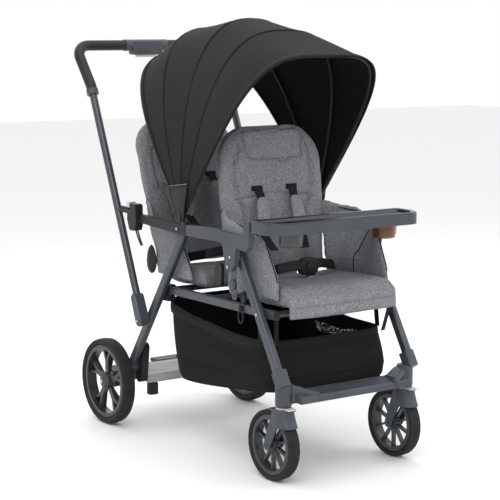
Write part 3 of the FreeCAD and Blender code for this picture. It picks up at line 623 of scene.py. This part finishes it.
def backPlane(bight, top):
    # point on the front face of a backrest: across, height along it, distance in front of it
    foot, head = at(0, *bight), at(0, *top)
    rise = (head - foot).normalized()
    out = Vector((0, -rise.z, rise.y))

    def place(across, up, forward=0.0):
        return foot + rise * up + out * forward + Vector((across, 0, 0))
    return place, (head - foot).length


def makeBack(which, body, node, bight, top, look):
    place, length = backPlane(bight, top)
    half, thick = seat["half"] - 0.006, 0.030
    corners = [(-half + 0.012, 0.012, 0.02), (half - 0.012, 0.012, 0.02), (half, length * 0.52, 0.2),
               (half - 0.004, length - 0.006, look["corner"]),
               (-half + 0.004, length - 0.006, look["corner"]),
               (-half, length * 0.52, 0.2)]
    outline = [place(p.x, p.y, -0.036) for p in roundedOutline(corners)]
    lean = place(0, 0, thick) - place(0, 0, 0)
    pad = slab(f"{which}BackPad", outline, lean, 0.010)
    puff(pad, seat["voxel"], 4.0, 0.008)
    # the pillow stands out, the sides curl forward and the middle has sewn channels
    for vert in pad.data.vertices:
        local = vert.co - place(0, 0)
        across = local.x
        up = local.dot((place(0, 1) - place(0, 0)).normalized())
        depth = local.dot((place(0, 0, 1) - place(0, 0)).normalized())
        front = min(max((depth + 0.030) / 0.025, 0), 1)
        curl = max(abs(across) - 0.105, 0) ** 2 * 2.2 * min(max((length - up) / 0.12, 0.25), 1)
        dome = max(1 - (across / 0.122) ** 4, 0) * max(1 - ((up - length * 0.86) / 0.062) ** 4, 0)
        vert.co += (place(0, 0, 1) - place(0, 0)) * (curl + dome * 0.009 * front)
    pillow = roundedOutline([(-0.112, length * 0.865 + 0.068, 0.02), (-0.098, length * 0.865 - 0.058, 0.045),
                             (0.098, length * 0.865 - 0.058, 0.045), (0.112, length * 0.865 + 0.068, 0.02)])
    ring = [place(p.x, p.y, 0.03) for p in pillow]
    ring.append(ring[0])
    press(pad, lieOn(pad, smoothLine(ring, 60)), 0.005, 0.006)
    seams = []
    for side in (-1, 1):
        run = [place(side * x, length * up, 0.03) for x, up in ((0.118, 0.84), (0.128, 0.68), (0.122, 0.55),
                                                                 (0.104, 0.44), (0.098, 0.3), (0.1, 0.12))]
        seams.append(smoothLine(run, 50))
    across = [place(x, length * 0.535 + 0.006 * math.cos(x * 30), 0.03)
              for x in (-0.12, -0.06, 0, 0.06, 0.12)]
    seams.append(smoothLine(across, 30))
    for line in seams:
        press(pad, lieOn(pad, line), 0.005, 0.005)
    rumple(pad, 0.05, 0.0022, (1, 1, 0.6), 1.7 if which == "front" else 5.3)
    for number, line in enumerate([smoothLine(ring, 60), *seams[:2]]):
        tube(f"{which}BackEdging{number + 1}", lieOn(pad, line, 0.0008), 0.0014, "seatMelange", body)
    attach(pad, body)
    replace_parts(pad, node)
    # shoulder webbing comes out of two slots, with a pad on each
    for side, sign in leftRight:
        slotSpot = lieOn(pad, [place(sign * 0.058, length * 0.585, 0.03)], 0.0015)[0]
        bm = bmesh.new()
        bmesh.ops.create_cube(bm, size=1)
        bmesh.ops.scale(bm, vec=(0.036, 0.005, 0.014), verts=bm.verts)
        bmesh.ops.bevel(bm, geom=bm.edges, offset=0.0018, offset_type="OFFSET", affect="EDGES", segments=3,
                        profile=0.5, material=-1)
        bmesh.ops.rotate(bm, cent=(0, 0, 0), matrix=Matrix.Rotation(-math.radians(look["lean"]), 3, "X"),
                         verts=bm.verts)
        bmesh.ops.translate(bm, vec=slotSpot, verts=bm.verts)
        finishPiece(f"{which}HarnessSlot{side}", bm, "webbing", body)
        run = [slotSpot + (place(0, 0, 0.004) - place(0, 0)),
               place(sign * 0.056, length * 0.53, 0.016), place(sign * 0.060, length * 0.42, 0.024),
               place(sign * 0.064, length * 0.30, 0.034), place(sign * 0.052, length * 0.2, 0.060)]
        strap(f"{which}ShoulderStrap{side}", run, 0.026, 0.0018, (1, 0, 0), body)
        line = smoothLine(run[1:4], 14)
        rows = []
        for i, point in enumerate(line):
            grow = math.sin(math.pi * (i + 0.35) / (len(line) - 0.3)) ** 0.25
            row = []
            for k in range(16):
                turn = 2 * math.pi * k / 16
                wide = 0.021 * squared(math.cos(turn), 0.6) * grow
                deep = 0.0055 * squared(math.sin(turn), 0.8) * grow
                row.append(point + Vector((wide, 0, 0)) + (place(0, 0, 1) - place(0, 0)) * (deep + 0.004))
            rows.append(row)
        bm = loft(rows, closed=True)
        bmesh.ops.holes_fill(bm, edges=bm.edges)
        strapPad = finishPiece(f"{which}ShoulderPad{side}", bm, "seatMelange", None, True, True)
        refine(strapPad, 2)
        bakeModifiers(strapPad)
        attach(strapPad, body)


makeBack("front", "front_back", "front_backrest", (-150, 470), (-104, 912),
         {"corner": 0.105, "lean": 6})
makeBack("rear", "rear_back", "rear_backrest", (186, 476), (342, 914),
         {"corner": 0.10, "lean": 19.6})
print("backrests made")


def makeCushion(name, node, sections, half, channels, seed):
    # a side-view outline swollen across the seat
    outline = [at(-half * 1000, p.x * 1000, p.y * 1000) for p in roundedOutline(sections)]
    pad = slab(name, outline, Vector((2 * half, 0, 0)), 0.012)
    puff(pad, seat["voxel"], 4.0, 0.008)
    for line in channels:
        press(pad, lieOn(pad, smoothLine(line, 40)), 0.004, 0.005)
    rumple(pad, 0.06, 0.0025, (0.6, 1, 1), seed)
    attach(pad, "seat_frame")
    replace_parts(pad, node)
    return pad


frontCushion = makeCushion("frontSeatCushion", "front_seat_pan",
                           [(-0.148, 0.450, 0.008), (-0.148, 0.484, 0.012), (-0.30, 0.492, 0.06),
                            (-0.415, 0.490, 0.022), (-0.446, 0.466, 0.02), (-0.446, 0.412, 0.008),
                            (-0.434, 0.412, 0.008), (-0.424, 0.450, 0.006)], 0.179,
                           [[at(x, -400, 510) for x in (-175, -90, 0, 90, 175)],
                            [at(-120, y, 510) for y in (-160, -250, -330, -400)],
                            [at(120, y, 510) for y in (-160, -250, -330, -400)]], 2.2)
rearCushion = makeCushion("rearSeatCushion", "rear_seat_pan",
                          [(0.172, 0.450, 0.008), (0.172, 0.484, 0.012), (0.06, 0.490, 0.04),
                           (-0.022, 0.488, 0.016), (-0.031, 0.452, 0.008)], 0.169,
                          [[at(x, 20, 510) for x in (-160, -80, 0, 80, 160)],
                           [at(-110, y, 510) for y in (160, 100, 40, 0)],
                           [at(110, y, 510) for y in (160, 100, 40, 0)]], 7.4)
for number, cushion in enumerate((frontCushion, rearCushion)):
    which = ("front", "rear")[number]
    box = [Vector(corner) for corner in cushion.bound_box]
    low = Vector((min(p.x for p in box), min(p.y for p in box), 0))
    high = Vector((max(p.x for p in box), max(p.y for p in box), 0))
    rim = [Vector((x, low.y + 0.004, 0.475 if number else 0.452))
           for x in np.linspace(low.x + 0.006, high.x - 0.006, 24)]
    tube(f"{which}CushionEdging", lieOn(cushion, rim, 0.0006), 0.0014, "seatMelange", "seat_frame")
print("cushions made")


def makeWings():
    # side panels that close the seat between backrest, armrest and cushion
    wings = {"frontWing": [(-112, 690, 14), (-235, 668, 70), (-345, 624, 16), (-396, 520, 40), (-404, 462, 8),
                           (-150, 462, 8)],
             "rearWing": [(272, 690, 14), (160, 640, 60), (60, 600, 20), (8, 500, 30), (0, 462, 8),
                          (188, 462, 8)]}
    reach = {"frontWing": (-345, -120), "rearWing": (20, 250)}
    for name, corners in wings.items():
        ahead, behind = reach[name]
        outline2d = roundedOutline([(y / 1000, z / 1000, r / 1000) for y, z, r in corners], 5)
        for side, sign in leftRight:
            outline = [at(sign * 184.6, p.x * 1000, p.y * 1000) for p in outline2d]
            panel = slab(f"{name}{side}", outline, Vector((sign * 0.0072, 0, 0)), 0.002)
            puff(panel, 0.0045, 3.0, 0.004)
            low = at(0, 0, 440).z
            for vert in panel.data.vertices:
                up = max(vert.co.z - low, 0)
                belly = math.sin(min(up / 0.19, 1) * math.pi) * 0.006
                # the top of the panel is drawn out to the armrest
                flare = min(max((up - 0.09) / 0.10, 0), 1)
                flare *= min(max((vert.co.y - at(0, ahead, 0).y) / 0.08, 0), 1)
                near = min(max((at(0, behind, 0).y - vert.co.y) / 0.10, 0), 1)
                hug = min(max((vert.co.y - at(0, behind - 80, 0).y) / 0.07, 0), 1)
                hug *= 1 if "front" in name else 0.6
                vert.co.x += sign * (flare * near * 0.028 - belly - hug * 0.021)
            first = at(sign * 190, corners[1][0] - 60, corners[2][1] + 14)
            last = at(sign * 190, (corners[4][0] + corners[5][0]) / 2 + 20, 476)
            crease = smoothLine([first, (first + last) / 2 + Vector((0, 0.01, 0.012)), last], 30)
            press(panel, lieOn(panel, crease), 0.003, 0.006)
            rumple(panel, 0.045, 0.0022, (1, 1, 0.8), 4.0 + sign)
            inside = [point - Vector((sign * 0.05, 0, 0)) for point in crease]
            tube(f"{name}Crease{side}", lieOn(panel, inside, 0.0006), 0.0013, "seatEdging",
                 "seat_frame")
            top = [at(sign * 188, p.x * 1000, p.y * 1000) for p in outline2d]
            edge = [point for point in top if point.z > at(0, 0, 480).z]
            edge.sort(key=lambda point: -point.z)
            tube(f"{name}Edging{side}", lieOn(panel, edge, 0.0006), 0.0016, "seatEdging",
                 "seat_frame")
            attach(panel, "seat_frame")


makeWings()
print("wings made")


# ---- basket
basket = {"half": 203, "rear": (142, 108), "front": (-378, -410), "floorRear": 172, "floorFront": 226,
          "rings": 22, "around": 96}


def basketFloor(y):
    share = (basket["rear"][1] - y) / (basket["rear"][1] - basket["front"][1])
    return basket["floorRear"] + (basket["floorFront"] - basket["floorRear"]) * max(share, 0) ** 1.7


def basketRing(drop, half, pinch=0.0):
    # a rounded rectangle round the basket at a share of its depth
    rear = basket["rear"][0] + (basket["rear"][1] - basket["rear"][0]) * drop - pinch
    front = basket["front"][0] + (basket["front"][1] - basket["front"][0]) * min(drop * 1.5, 1) + pinch
    middle, reach = (rear + front) / 2, (rear - front) / 2
    ring = []
    for i in range(basket["around"]):
        turn = 2 * math.pi * (i + 0.5) / basket["around"]
        side, length = math.cos(turn), math.sin(turn)
        x = half * squared(side, 0.28)
        y = middle + reach * squared(length, 0.28)
        along = (y - basket["front"][0]) / (basket["rear"][0] - basket["front"][0])
        rim = 352 + 46 * along - 16 * math.sin(math.pi * min(max(along, 0), 1))
        z = rim + (basketFloor(y) - rim) * drop
        ring.append(at(x, y, z))
    return ring


def foldBasket(piece):
    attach(piece, "rear_frame")
    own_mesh(piece)


def makeBasket():
    rows = []
    for i in range(basket["rings"]):
        drop = i / (basket["rings"] - 1)
        belly = basket["half"] - 4 - 10 * drop + 7 * math.sin(math.pi * drop)
        tuck = (max(drop - 0.9, 0) / 0.1) ** 2
        rows.append(basketRing(drop - 0.012 * tuck, belly - 10 * tuck, 6 * tuck))
    for share in (0.85, 0.62, 0.35, 0.1):
        rows.append([at(0, -150, 196).lerp(point, share) + Vector((0, 0, -0.004 * (1 - share)))
                     for point in basketRing(1.0, basket["half"] - 26, 12)])
        for point in rows[-1]:
            point.z = at(0, 0, basketFloor((point.y - drawnZero) * 1000)).z - 0.004 * (1 - share)
    bm = loft(rows, closed=True)
    bmesh.ops.holes_fill(bm, edges=[edge for edge in bm.edges if edge.is_boundary
                                    and edge.verts[0].co.z < 0.3])
    bmesh.ops.recalc_face_normals(bm, faces=bm.faces)
    bag = finishPiece("basketCloth", bm, "basketCloth", None)
    bag.data.materials.append(finishes["basketNet"])
    high, low = at(0, 0, 322).z, at(0, 0, 252).z
    for face in bag.data.polygons:
        spot = face.center
        back, ahead = at(0, -110, 0).y, at(0, -400, 0).y
        slant = (spot.y - ahead) / (back - ahead)
        if ahead < spot.y < back and low + 0.045 * slant < spot.z < high and abs(spot.x) > 0.15:
            face.material_index = 1
        if spot.y < at(0, -365, 0).y and low < spot.z < high and abs(spot.x) < 0.185:
            face.material_index = 1
    rumple(bag, 0.12, 0.005, (1, 1, 0.7), 8.8)
    thicken(bag, 0.0014, 0)
    refine(bag, 1)
    bakeModifiers(bag)
    foldBasket(bag)
    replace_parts(bag, "basket")
    rim = rows[0]
    binding = [[point + Vector((0, 0, lift)) + (point - at(0, -120, 350)).normalized() * out
                for point in rim] for lift, out in ((0.002, -0.002), (0.003, 0.002), (-0.012, 0.003),
                                                    (-0.024, 0.002))]
    band = finishPiece("basketRimBinding", loft(binding, closed=True), "webbing", None)
    thicken(band, 0.0018, 1)
    bakeModifiers(band)
    foldBasket(band)
    for name, drop in (("basketLowBinding", 0.68), ("basketFloorBinding", 0.97)):
        belly = basket["half"] - 4 - 10 * drop + 7 * math.sin(math.pi * drop) + 1.5
        ring = basketRing(drop, belly if drop < 0.9 else belly - 8)
        seam = tube(name, ring, 0.0016, "webbing", None, cyclic=True)
        foldBasket(seam)
    for side, sign in leftRight:
        for number, y in enumerate((-330, -395)):
            if number == 0:
                top, low = at(sign * 196, y, 418), at(sign * 198, y - 6, 352)
            else:
                top, low = at(sign * 190, y, 418), at(sign * 180, y + 14, 348)
            hang = strap(f"basketHanger{side}{number + 1}", [top, top.lerp(low, 0.5), low], 0.018, 0.0018,
                         (0, 1, 0) if number == 0 else (1, 0.3, 0), None, "webbing", 8)
            foldBasket(hang)
        ringSpot = at(sign * 209, -262, 408)
        profile = [ringSpot + Vector((0, 0.011 * math.cos(a), 0.017 * math.sin(a)))
                   for a in ringTurns(16)]
        tube(f"basketDRing{side}", profile, 0.0022, "blackMoulding", "rear_frame",
             cyclic=True)
        strap(f"basketDRingTab{side}", [at(sign * 208, -262, 440), at(sign * 209, -262, 425)], 0.014, 0.002,
              (0, 1, 0), "rear_frame", "webbing", 6)


def netFinish():
    tree, shader = clothFinish("basketNet", (0.010, 0.010, 0.011), (0.02, 0.02, 0.021), 500, 300, 0.0)[1:]
    place = addNode(tree, "ShaderNodeTexCoord")
    holes = addNode(tree, "ShaderNodeTexVoronoi", {"Scale": 420})
    cut = ramp(tree, (1, 1, 1), (0, 0, 0), 0.30, 0.42)
    flip = addNode(tree, "ShaderNodeMath", {1: 1.0}, operation="SUBTRACT")
    flip.inputs[0].default_value = 1.0
    tree.links.new(place.outputs["Object"], holes.inputs["Vector"])
    tree.links.new(holes.outputs["Distance"], cut.inputs["Fac"])
    tree.links.new(cut.outputs["Color"], flip.inputs[1])
    tree.links.new(flip.outputs[0], shader.inputs["Alpha"])


netFinish()
setShine(("canopyCloth", "canopyLining", "seatEdging", "basketCloth", "basketNet", "webbing", "pocketCloth"),
         0.12)
makeBasket()
print("basket made")


# ---- harness
def makeHarness(which):
    node = f"{which}_buckle"
    low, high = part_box(node)
    middle = (low + high) / 2
    half = {"wide": 0.032, "tall": 0.024, "deep": 0.009, "drop": 0.026}
    rows = []
    for depth, grow in ((-1, 0.86), (-0.75, 0.97), (0, 1.0), (0.75, 0.97), (1, 0.86)):
        row = []
        for k in range(32):
            turn = 2 * math.pi * k / 32
            x = half["wide"] * squared(math.cos(turn), 0.55) * grow
            z = half["tall"] * squared(math.sin(turn), 0.6) * grow
            row.append(Vector((middle.x + x, middle.y + half["deep"] * depth, high.z - half["drop"] + z)))
        rows.append(row)
    bm = loft(rows, closed=True)
    bmesh.ops.holes_fill(bm, edges=bm.edges)
    shell = finishPiece(f"{which}BuckleShell", bm, "blackMoulding", None, True, True)
    edge = shell.modifiers.new("edge", "BEVEL")
    edge.width = 0.001
    edge.segments = 2
    bakeModifiers(shell)
    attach(shell, "seat_frame")
    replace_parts(shell, node)
    hub = Vector((middle.x, low.y, high.z - half["drop"]))
    for side, sign in leftRight:
        tongue = [hub + Vector((sign * 0.026, 0.006, 0.006)), hub + Vector((sign * 0.05, 0.012, 0.004)),
                  hub + Vector((sign * 0.088, 0.030, -0.004))]
        strap(f"{which}BuckleTongue{side}", tongue, 0.026, 0.007, (0, 0.25, 1), "seat_frame", "blackMoulding",
              10)
        waist = [hub + Vector((sign * 0.082, 0.026, -0.003)), hub + Vector((sign * 0.125, 0.055, -0.012)),
                 hub + Vector((sign * 0.165, 0.10, -0.028))]
        strap(f"{which}WaistStrap{side}", waist, 0.026, 0.0018, (0, 0.35, 1), "seat_frame")
    crotch = [hub + Vector((0, -0.003, -0.016)), hub + Vector((0, -0.012, -0.030)),
              Vector((0, hub.y - 0.055, high.z - 0.058))]
    strap(f"{which}CrotchStrap", crotch, 0.028, 0.002, (1, 0, 0), "seat_frame")
    line = smoothLine([hub + Vector((0, -0.008, -0.026)), hub + Vector((0.004, -0.03, -0.032)),
                       Vector((0.012, hub.y - 0.075, high.z - 0.056))], 14)
    rows = []
    for i, point in enumerate(line):
        grow = math.sin(math.pi * (i + 0.4) / (len(line) - 0.2)) ** 0.28
        rows.append([point + Vector((0.033 * squared(math.cos(t), 0.6) * grow,
                                     -0.002, 0.0065 * math.sin(t) * grow))
                     for t in ringTurns(20)])
    bm = loft(rows, closed=True)
    bmesh.ops.holes_fill(bm, edges=bm.edges)
    pad = finishPiece(f"{which}CrotchPad", bm, "seatMelange", None, True, True)
    refine(pad, 2)
    bakeModifiers(pad)
    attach(pad, "seat_frame")


makeHarness("front")
makeHarness("rear")
print("harness made")


# ---- wheels
tyres = {"rear": {"wall": 0.019, "lugGap": 0.0012}, "front": {"wall": 0.014, "lugGap": 0.0010}}
hubCap = {"radius": 0.021, "proud": 0.007, "sunk": 0.003}


def makeTyre(node, body, centre, outer, width, wall, lugStep):
    half = width / 2
    # from one bead over the tread to the other
    profile = [(-half * 0.72, outer - wall + 0.0006), (-half * 0.95, outer - wall * 0.75),
               (-half, outer - wall * 0.42), (-half * 0.88, outer - wall * 0.16),
               (-half * 0.62, outer - 0.0022), (-half * 0.30, outer - 0.0012)]
    profile += [(0, outer - 0.0008)] + [(-x, radius) for x, radius in reversed(profile)]
    profile.append(profile[0])
    tyre = spun(node.replace("_tyre_", "Tyre").replace("left", "Left").replace("right", "Right"), profile,
                centre, "tyreRubber", body, 84,
                {"inside": outer - wall * 0.5, "gap": lugStep, "rise": 0.0007})
    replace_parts(tyre, node)


def makeHubCap(name, body, centre, sign, radius, proud):
    profile = [(0, 0.0004), (sign * proud, 0.0004), (sign * proud, radius * 0.55),
               (sign * proud * 0.75, radius * 0.82), (sign * proud * 0.25, radius), (0, radius)]
    spun(name, profile, centre, "rimMoulding", body, 40)


for title, sign in leftRight:
    side = title.lower()
    for place in ("rear", "front"):
        low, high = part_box(f"{place}_tyre_{side}")
        middle = (low + high) / 2
        makeTyre(f"{place}_tyre_{side}", f"{place}_wheel_{side}", middle, (high.z - low.z) / 2,
                 high.x - low.x, tyres[place]["wall"], tyres[place]["lugGap"])
        if place == "rear":
            low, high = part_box(f"rear_rim_{side}")
            face = Vector((high.x if sign > 0 else low.x, middle.y, middle.z))
            makeHubCap(f"rearHubCap{title}", f"rear_wheel_{side}",
                       face - Vector((sign * hubCap["sunk"], 0, 0)), sign, hubCap["radius"], hubCap["proud"])


def makeDish(side, sign):
    # shallow plates behind the spokes of a rear wheel leave five pockets
    low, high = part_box(f"rear_rim_{side}")
    middle = (low + high) / 2
    profile = [(-sign * x, radius) for x, radius in
               ((0.004, 0.026), (0.0055, 0.050), (0.009, 0.080), (0.011, 0.099), (0.014, 0.099),
                (0.012, 0.080), (0.0085, 0.050), (0.007, 0.026))]
    for i in range(5):
        bm = bmesh.new()
        verts = [bm.verts.new((middle.x + x, middle.y, middle.z + radius)) for x, radius in profile]
        edges = [bm.edges.new(pair) for pair in zip(verts, verts[1:] + verts[:1])]
        turn = Matrix.Rotation(2 * math.pi * i / 5 - 0.24, 3, "X")
        bmesh.ops.rotate(bm, cent=middle, matrix=turn, verts=bm.verts)
        bmesh.ops.spin(bm, geom=verts + edges, cent=middle, axis=(1, 0, 0), dvec=(0, 0, 0), angle=0.48,
                       steps=10, use_merge=False, use_duplicate=False)
        bmesh.ops.holes_fill(bm, edges=bm.edges)
        finishPiece(f"rearWheelPocket{side.capitalize()}{i + 1}", bm, "rimMoulding", f"rear_wheel_{side}",
                    False, True)


for side, sign in (("left", -1), ("right", 1)):
    makeDish(side, sign)
print("wheels made")


# ---- caster shrouds, recline hubs and small fittings
def makeShroud(side):
    swivel = hinges[f"caster_{side}_swivel"]
    # each ring: height, half width, reach forward, reach back
    rings = [(0.1965, 0.0215, 0.022, 0.022), (0.190, 0.0232, 0.024, 0.024), (0.178, 0.0240, 0.028, 0.028),
             (0.164, 0.0246, 0.034, 0.031), (0.154, 0.0250, 0.041, 0.032), (0.150, 0.0250, 0.042, 0.031)]
    rows = []
    for z, half, ahead, back in rings:
        row = []
        for k in range(40):
            turn = 2 * math.pi * k / 40
            sideways, length = math.cos(turn), math.sin(turn)
            reach = back if length > 0 else ahead
            row.append(Vector((swivel.x + half * squared(sideways, 0.7),
                               swivel.y + reach * squared(length, 0.8),
                               z + (0.010 * max(length, 0) if z < 0.17 else 0))))
        rows.append(row)
    bm = loft(rows, closed=True)
    bmesh.ops.recalc_face_normals(bm, faces=bm.faces)
    shroud = finishPiece(f"casterShroud{side.capitalize()}", bm, "slateMoulding", None)
    thicken(shroud, 0.0018, 1)
    refine(shroud, 1)
    bakeModifiers(shroud)
    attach(shroud, f"caster_{side}")


for side in ("left", "right"):
    makeShroud(side)


def makeReclineHub(side, sign):
    # ribbed egg with two rods up to the latch
    low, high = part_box("rear_recline_hubs")
    middle = Vector((sign * (high.x - 0.0085), (low.y + high.y) / 2, (low.z + high.z) / 2))
    rows = []
    for i in range(17):
        up = -1 + i / 8
        grow = math.sqrt(max(1 - up * up, 0.004)) * (1 + 0.16 * (-up))
        rib = 1 + 0.035 * math.cos(i * math.pi)
        rows.append([middle + Vector((0.0095 * math.cos(t) * grow * rib, 0.0225 * math.sin(t) * grow * rib,
                                      up * 0.042)) for t in ringTurns(28)])
    bm = loft(rows, closed=True)
    bmesh.ops.holes_fill(bm, edges=bm.edges)
    egg = finishPiece(f"rearReclineHub{side}", bm, "blackMoulding", None, True, True)
    refine(egg, 1)
    bakeModifiers(egg)
    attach(egg, "rear_back_hub")
    return egg


eggs = [makeReclineHub("Left", -1), makeReclineHub("Right", 1)]
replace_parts(eggs[0], "rear_recline_hubs")
for side, sign in leftRight:
    for number, lean in enumerate((-5, 6)):
        tube(f"latchRod{side}{number + 1}", [at(sign * 238, 214 + lean, 598), at(sign * 236, 206 + lean, 572),
                                             at(sign * 231, 196 + lean * 0.6, 548)], 0.0021,
             "blackMoulding", "armrest")
    pivot = hinges["brace_lower_fold"]
    boss = Vector((sign * 0.2314, pivot.y, pivot.z))
    profile = [(sign * x, radius) for x, radius in
               ((0, 0.0004), (0, 0.0135), (0.004, 0.0135), (0.0055, 0.0115), (0.0055, 0.006),
                (0.0068, 0.0052), (0.0068, 0.0004))]
    spun(f"braceBoss{side}", profile, boss, "slatePaint", "brace_upper", 36)


stepFlare = {"rings": 9, "start": 0.014, "length": 0.062, "tall": (0.050, 0.0305), "deep": (0.042, 0.0585),
             "height": 0.234}


def makeStepFlare(side, sign):
    # a moulding that widens from the swivel housing into the step
    low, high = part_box("front_step")
    swivel = hinges[f"caster_{side.lower()}_swivel"]
    rows = []
    for i in range(stepFlare["rings"]):
        share = i / (stepFlare["rings"] - 1)
        ease = share * share * (3 - 2 * share)
        x = abs(swivel.x) - stepFlare["start"] - stepFlare["length"] * share
        tall = stepFlare["tall"][0] * (1 - ease) + stepFlare["tall"][1] * ease
        deep = stepFlare["deep"][0] * (1 - ease) + stepFlare["deep"][1] * ease
        y = swivel.y * (1 - ease) + ((low.y + high.y) / 2) * ease
        z = stepFlare["height"] * (1 - ease) + ((low.z + high.z) / 2) * ease
        rows.append([Vector((sign * x, y + deep / 2 * squared(math.cos(t), 0.45),
                             z + tall / 2 * squared(math.sin(t), 0.45)))
                     for t in ringTurns(32)])
    bm = loft(rows, closed=True)
    bmesh.ops.holes_fill(bm, edges=bm.edges)
    finishPiece(f"stepFlare{side}", bm, "slateMoulding", "front_leg", True, True)


for side, sign in leftRight:
    makeStepFlare(side, sign)


def makeTrayLip():
    # glossy rolled edge that dips to the deck inside the rim
    rows = []
    for inset, z in ((0.0004, 672.5), (0.0012, 674.6), (0.0045, 676.4), (0.0090, 675.8), (0.0125, 672.0),
                     (0.0150, 667.0), (0.0200, 664.6), (0.0280, 664.2)):
        big = max(0.046 - inset, 0.004)
        small = max(0.014 - inset / 2, 0.003)
        half, front, back = 0.248 - inset, -0.464 + inset, -0.356 - inset
        outline = roundedOutline([(-half, front, big), (half, front, big), (half, back, small),
                                  (-half, back, small)], 8)
        rows.append([at(p.x * 1000, p.y * 1000, z) for p in outline])
    bm = loft(rows, closed=True)
    lip = finishPiece("trayLip", bm, "trayGloss", None)
    thicken(lip, 0.0008, -1)
    bakeModifiers(lip)
    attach(lip, "tray")


def makeCup(side, sign, finish):
    low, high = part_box("cup_holders")
    middle = Vector((sign * (high.x - 0.034), (low.y + high.y) / 2, 0))
    rows = []
    for radius, z in ((0.0240, low.z), (0.0288, low.z + 0.0012), (0.0305, low.z + 0.005),
                      (0.0338, high.z - 0.004),
                      (0.0345, high.z - 0.0005), (0.0325, high.z), (0.0318, high.z - 0.004),
                      (0.0282, low.z + 0.008), (0.0250, low.z + 0.0042)):
        rows.append([middle + Vector((radius * math.cos(t), radius * math.sin(t), z))
                     for t in ringTurns(48)])
    bm = loft(rows, closed=True)
    bmesh.ops.holes_fill(bm, edges=bm.edges)
    bmesh.ops.recalc_face_normals(bm, faces=bm.faces)
    cup = finishPiece(f"cup{side}", bm, finish, "tray", True, True)
    return cup


smoked = hardFinish("smokedPlastic", (0.10, 0.10, 0.105), (0.17, 0.17, 0.175), 0.1, 300, 0.00005)[2]
smoked.inputs["Transmission Weight"].default_value = 0.7
smoked.inputs["IOR"].default_value = 1.46
makeTrayLip()
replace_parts(makeCup("Left", -1, "smokedPlastic"), "cup_holders")
makeCup("Right", 1, "amberPlastic")
print("fittings made")


# ---- camera, floor and light
view = {"lens": 112.87, "spot": at(-2541.0, -3589.3, 1161.0), "ahead": Vector((0.573, 0.807, -0.140)),
        "up": Vector((0.081, 0.114, 0.990))}


def makeCamera():
    camera = bpy.data.cameras.new("studioCamera")
    camera.lens = view["lens"]
    camera.sensor_width = 36
    camera.clip_end = 50
    holder = bpy.data.objects.new("studioCamera", camera)
    back = -view["ahead"].normalized()
    side = view["up"].cross(back).normalized()
    top = back.cross(side)
    turned = Matrix((side, top, back)).transposed().to_4x4()
    holder.matrix_world = Matrix.Translation(view["spot"]) @ turned
    scene.collection.objects.link(holder)
    scene.camera = holder


def makeStudio():
    bm = bmesh.new()
    bmesh.ops.create_grid(bm, x_segments=2, y_segments=2, size=14)
    floor = finishPiece("floor", bm, "floorPaper", None, False)
    lights = [("softKey", (-2.2, -2.4, 3.2), 2.6, 62), ("softFill", (2.8, -1.4, 2.2), 2.6, 22),
              ("softTop", (0.2, 0.4, 3.6), 3.0, 34), ("softBack", (0.6, 3.0, 2.0), 2.2, 24)]
    for name, spot, size, power in lights:
        light = bpy.data.lights.new(name, "AREA")
        light.size = size
        light.energy = power
        holder = bpy.data.objects.new(name, light)
        holder.location = spot
        aim = Vector((0, 0, 0.55)) - Vector(spot)
        holder.rotation_euler = aim.to_track_quat("-Z", "Y").to_euler()
        scene.collection.objects.link(holder)
    world = bpy.data.worlds.new("studio")
    world.use_nodes = True
    world.node_tree.nodes["Background"].inputs["Color"].default_value = (1.0, 1.0, 1.0, 1)
    world.node_tree.nodes["Background"].inputs["Strength"].default_value = 1.0
    scene.world = world


hardFinish("floorPaper", (0.87, 0.87, 0.87), (0.89, 0.89, 0.89), 0.8, 300, 0.0001)
scene.view_settings.view_transform = "Standard"
makeCamera()
makeStudio()
print("camera and light made")
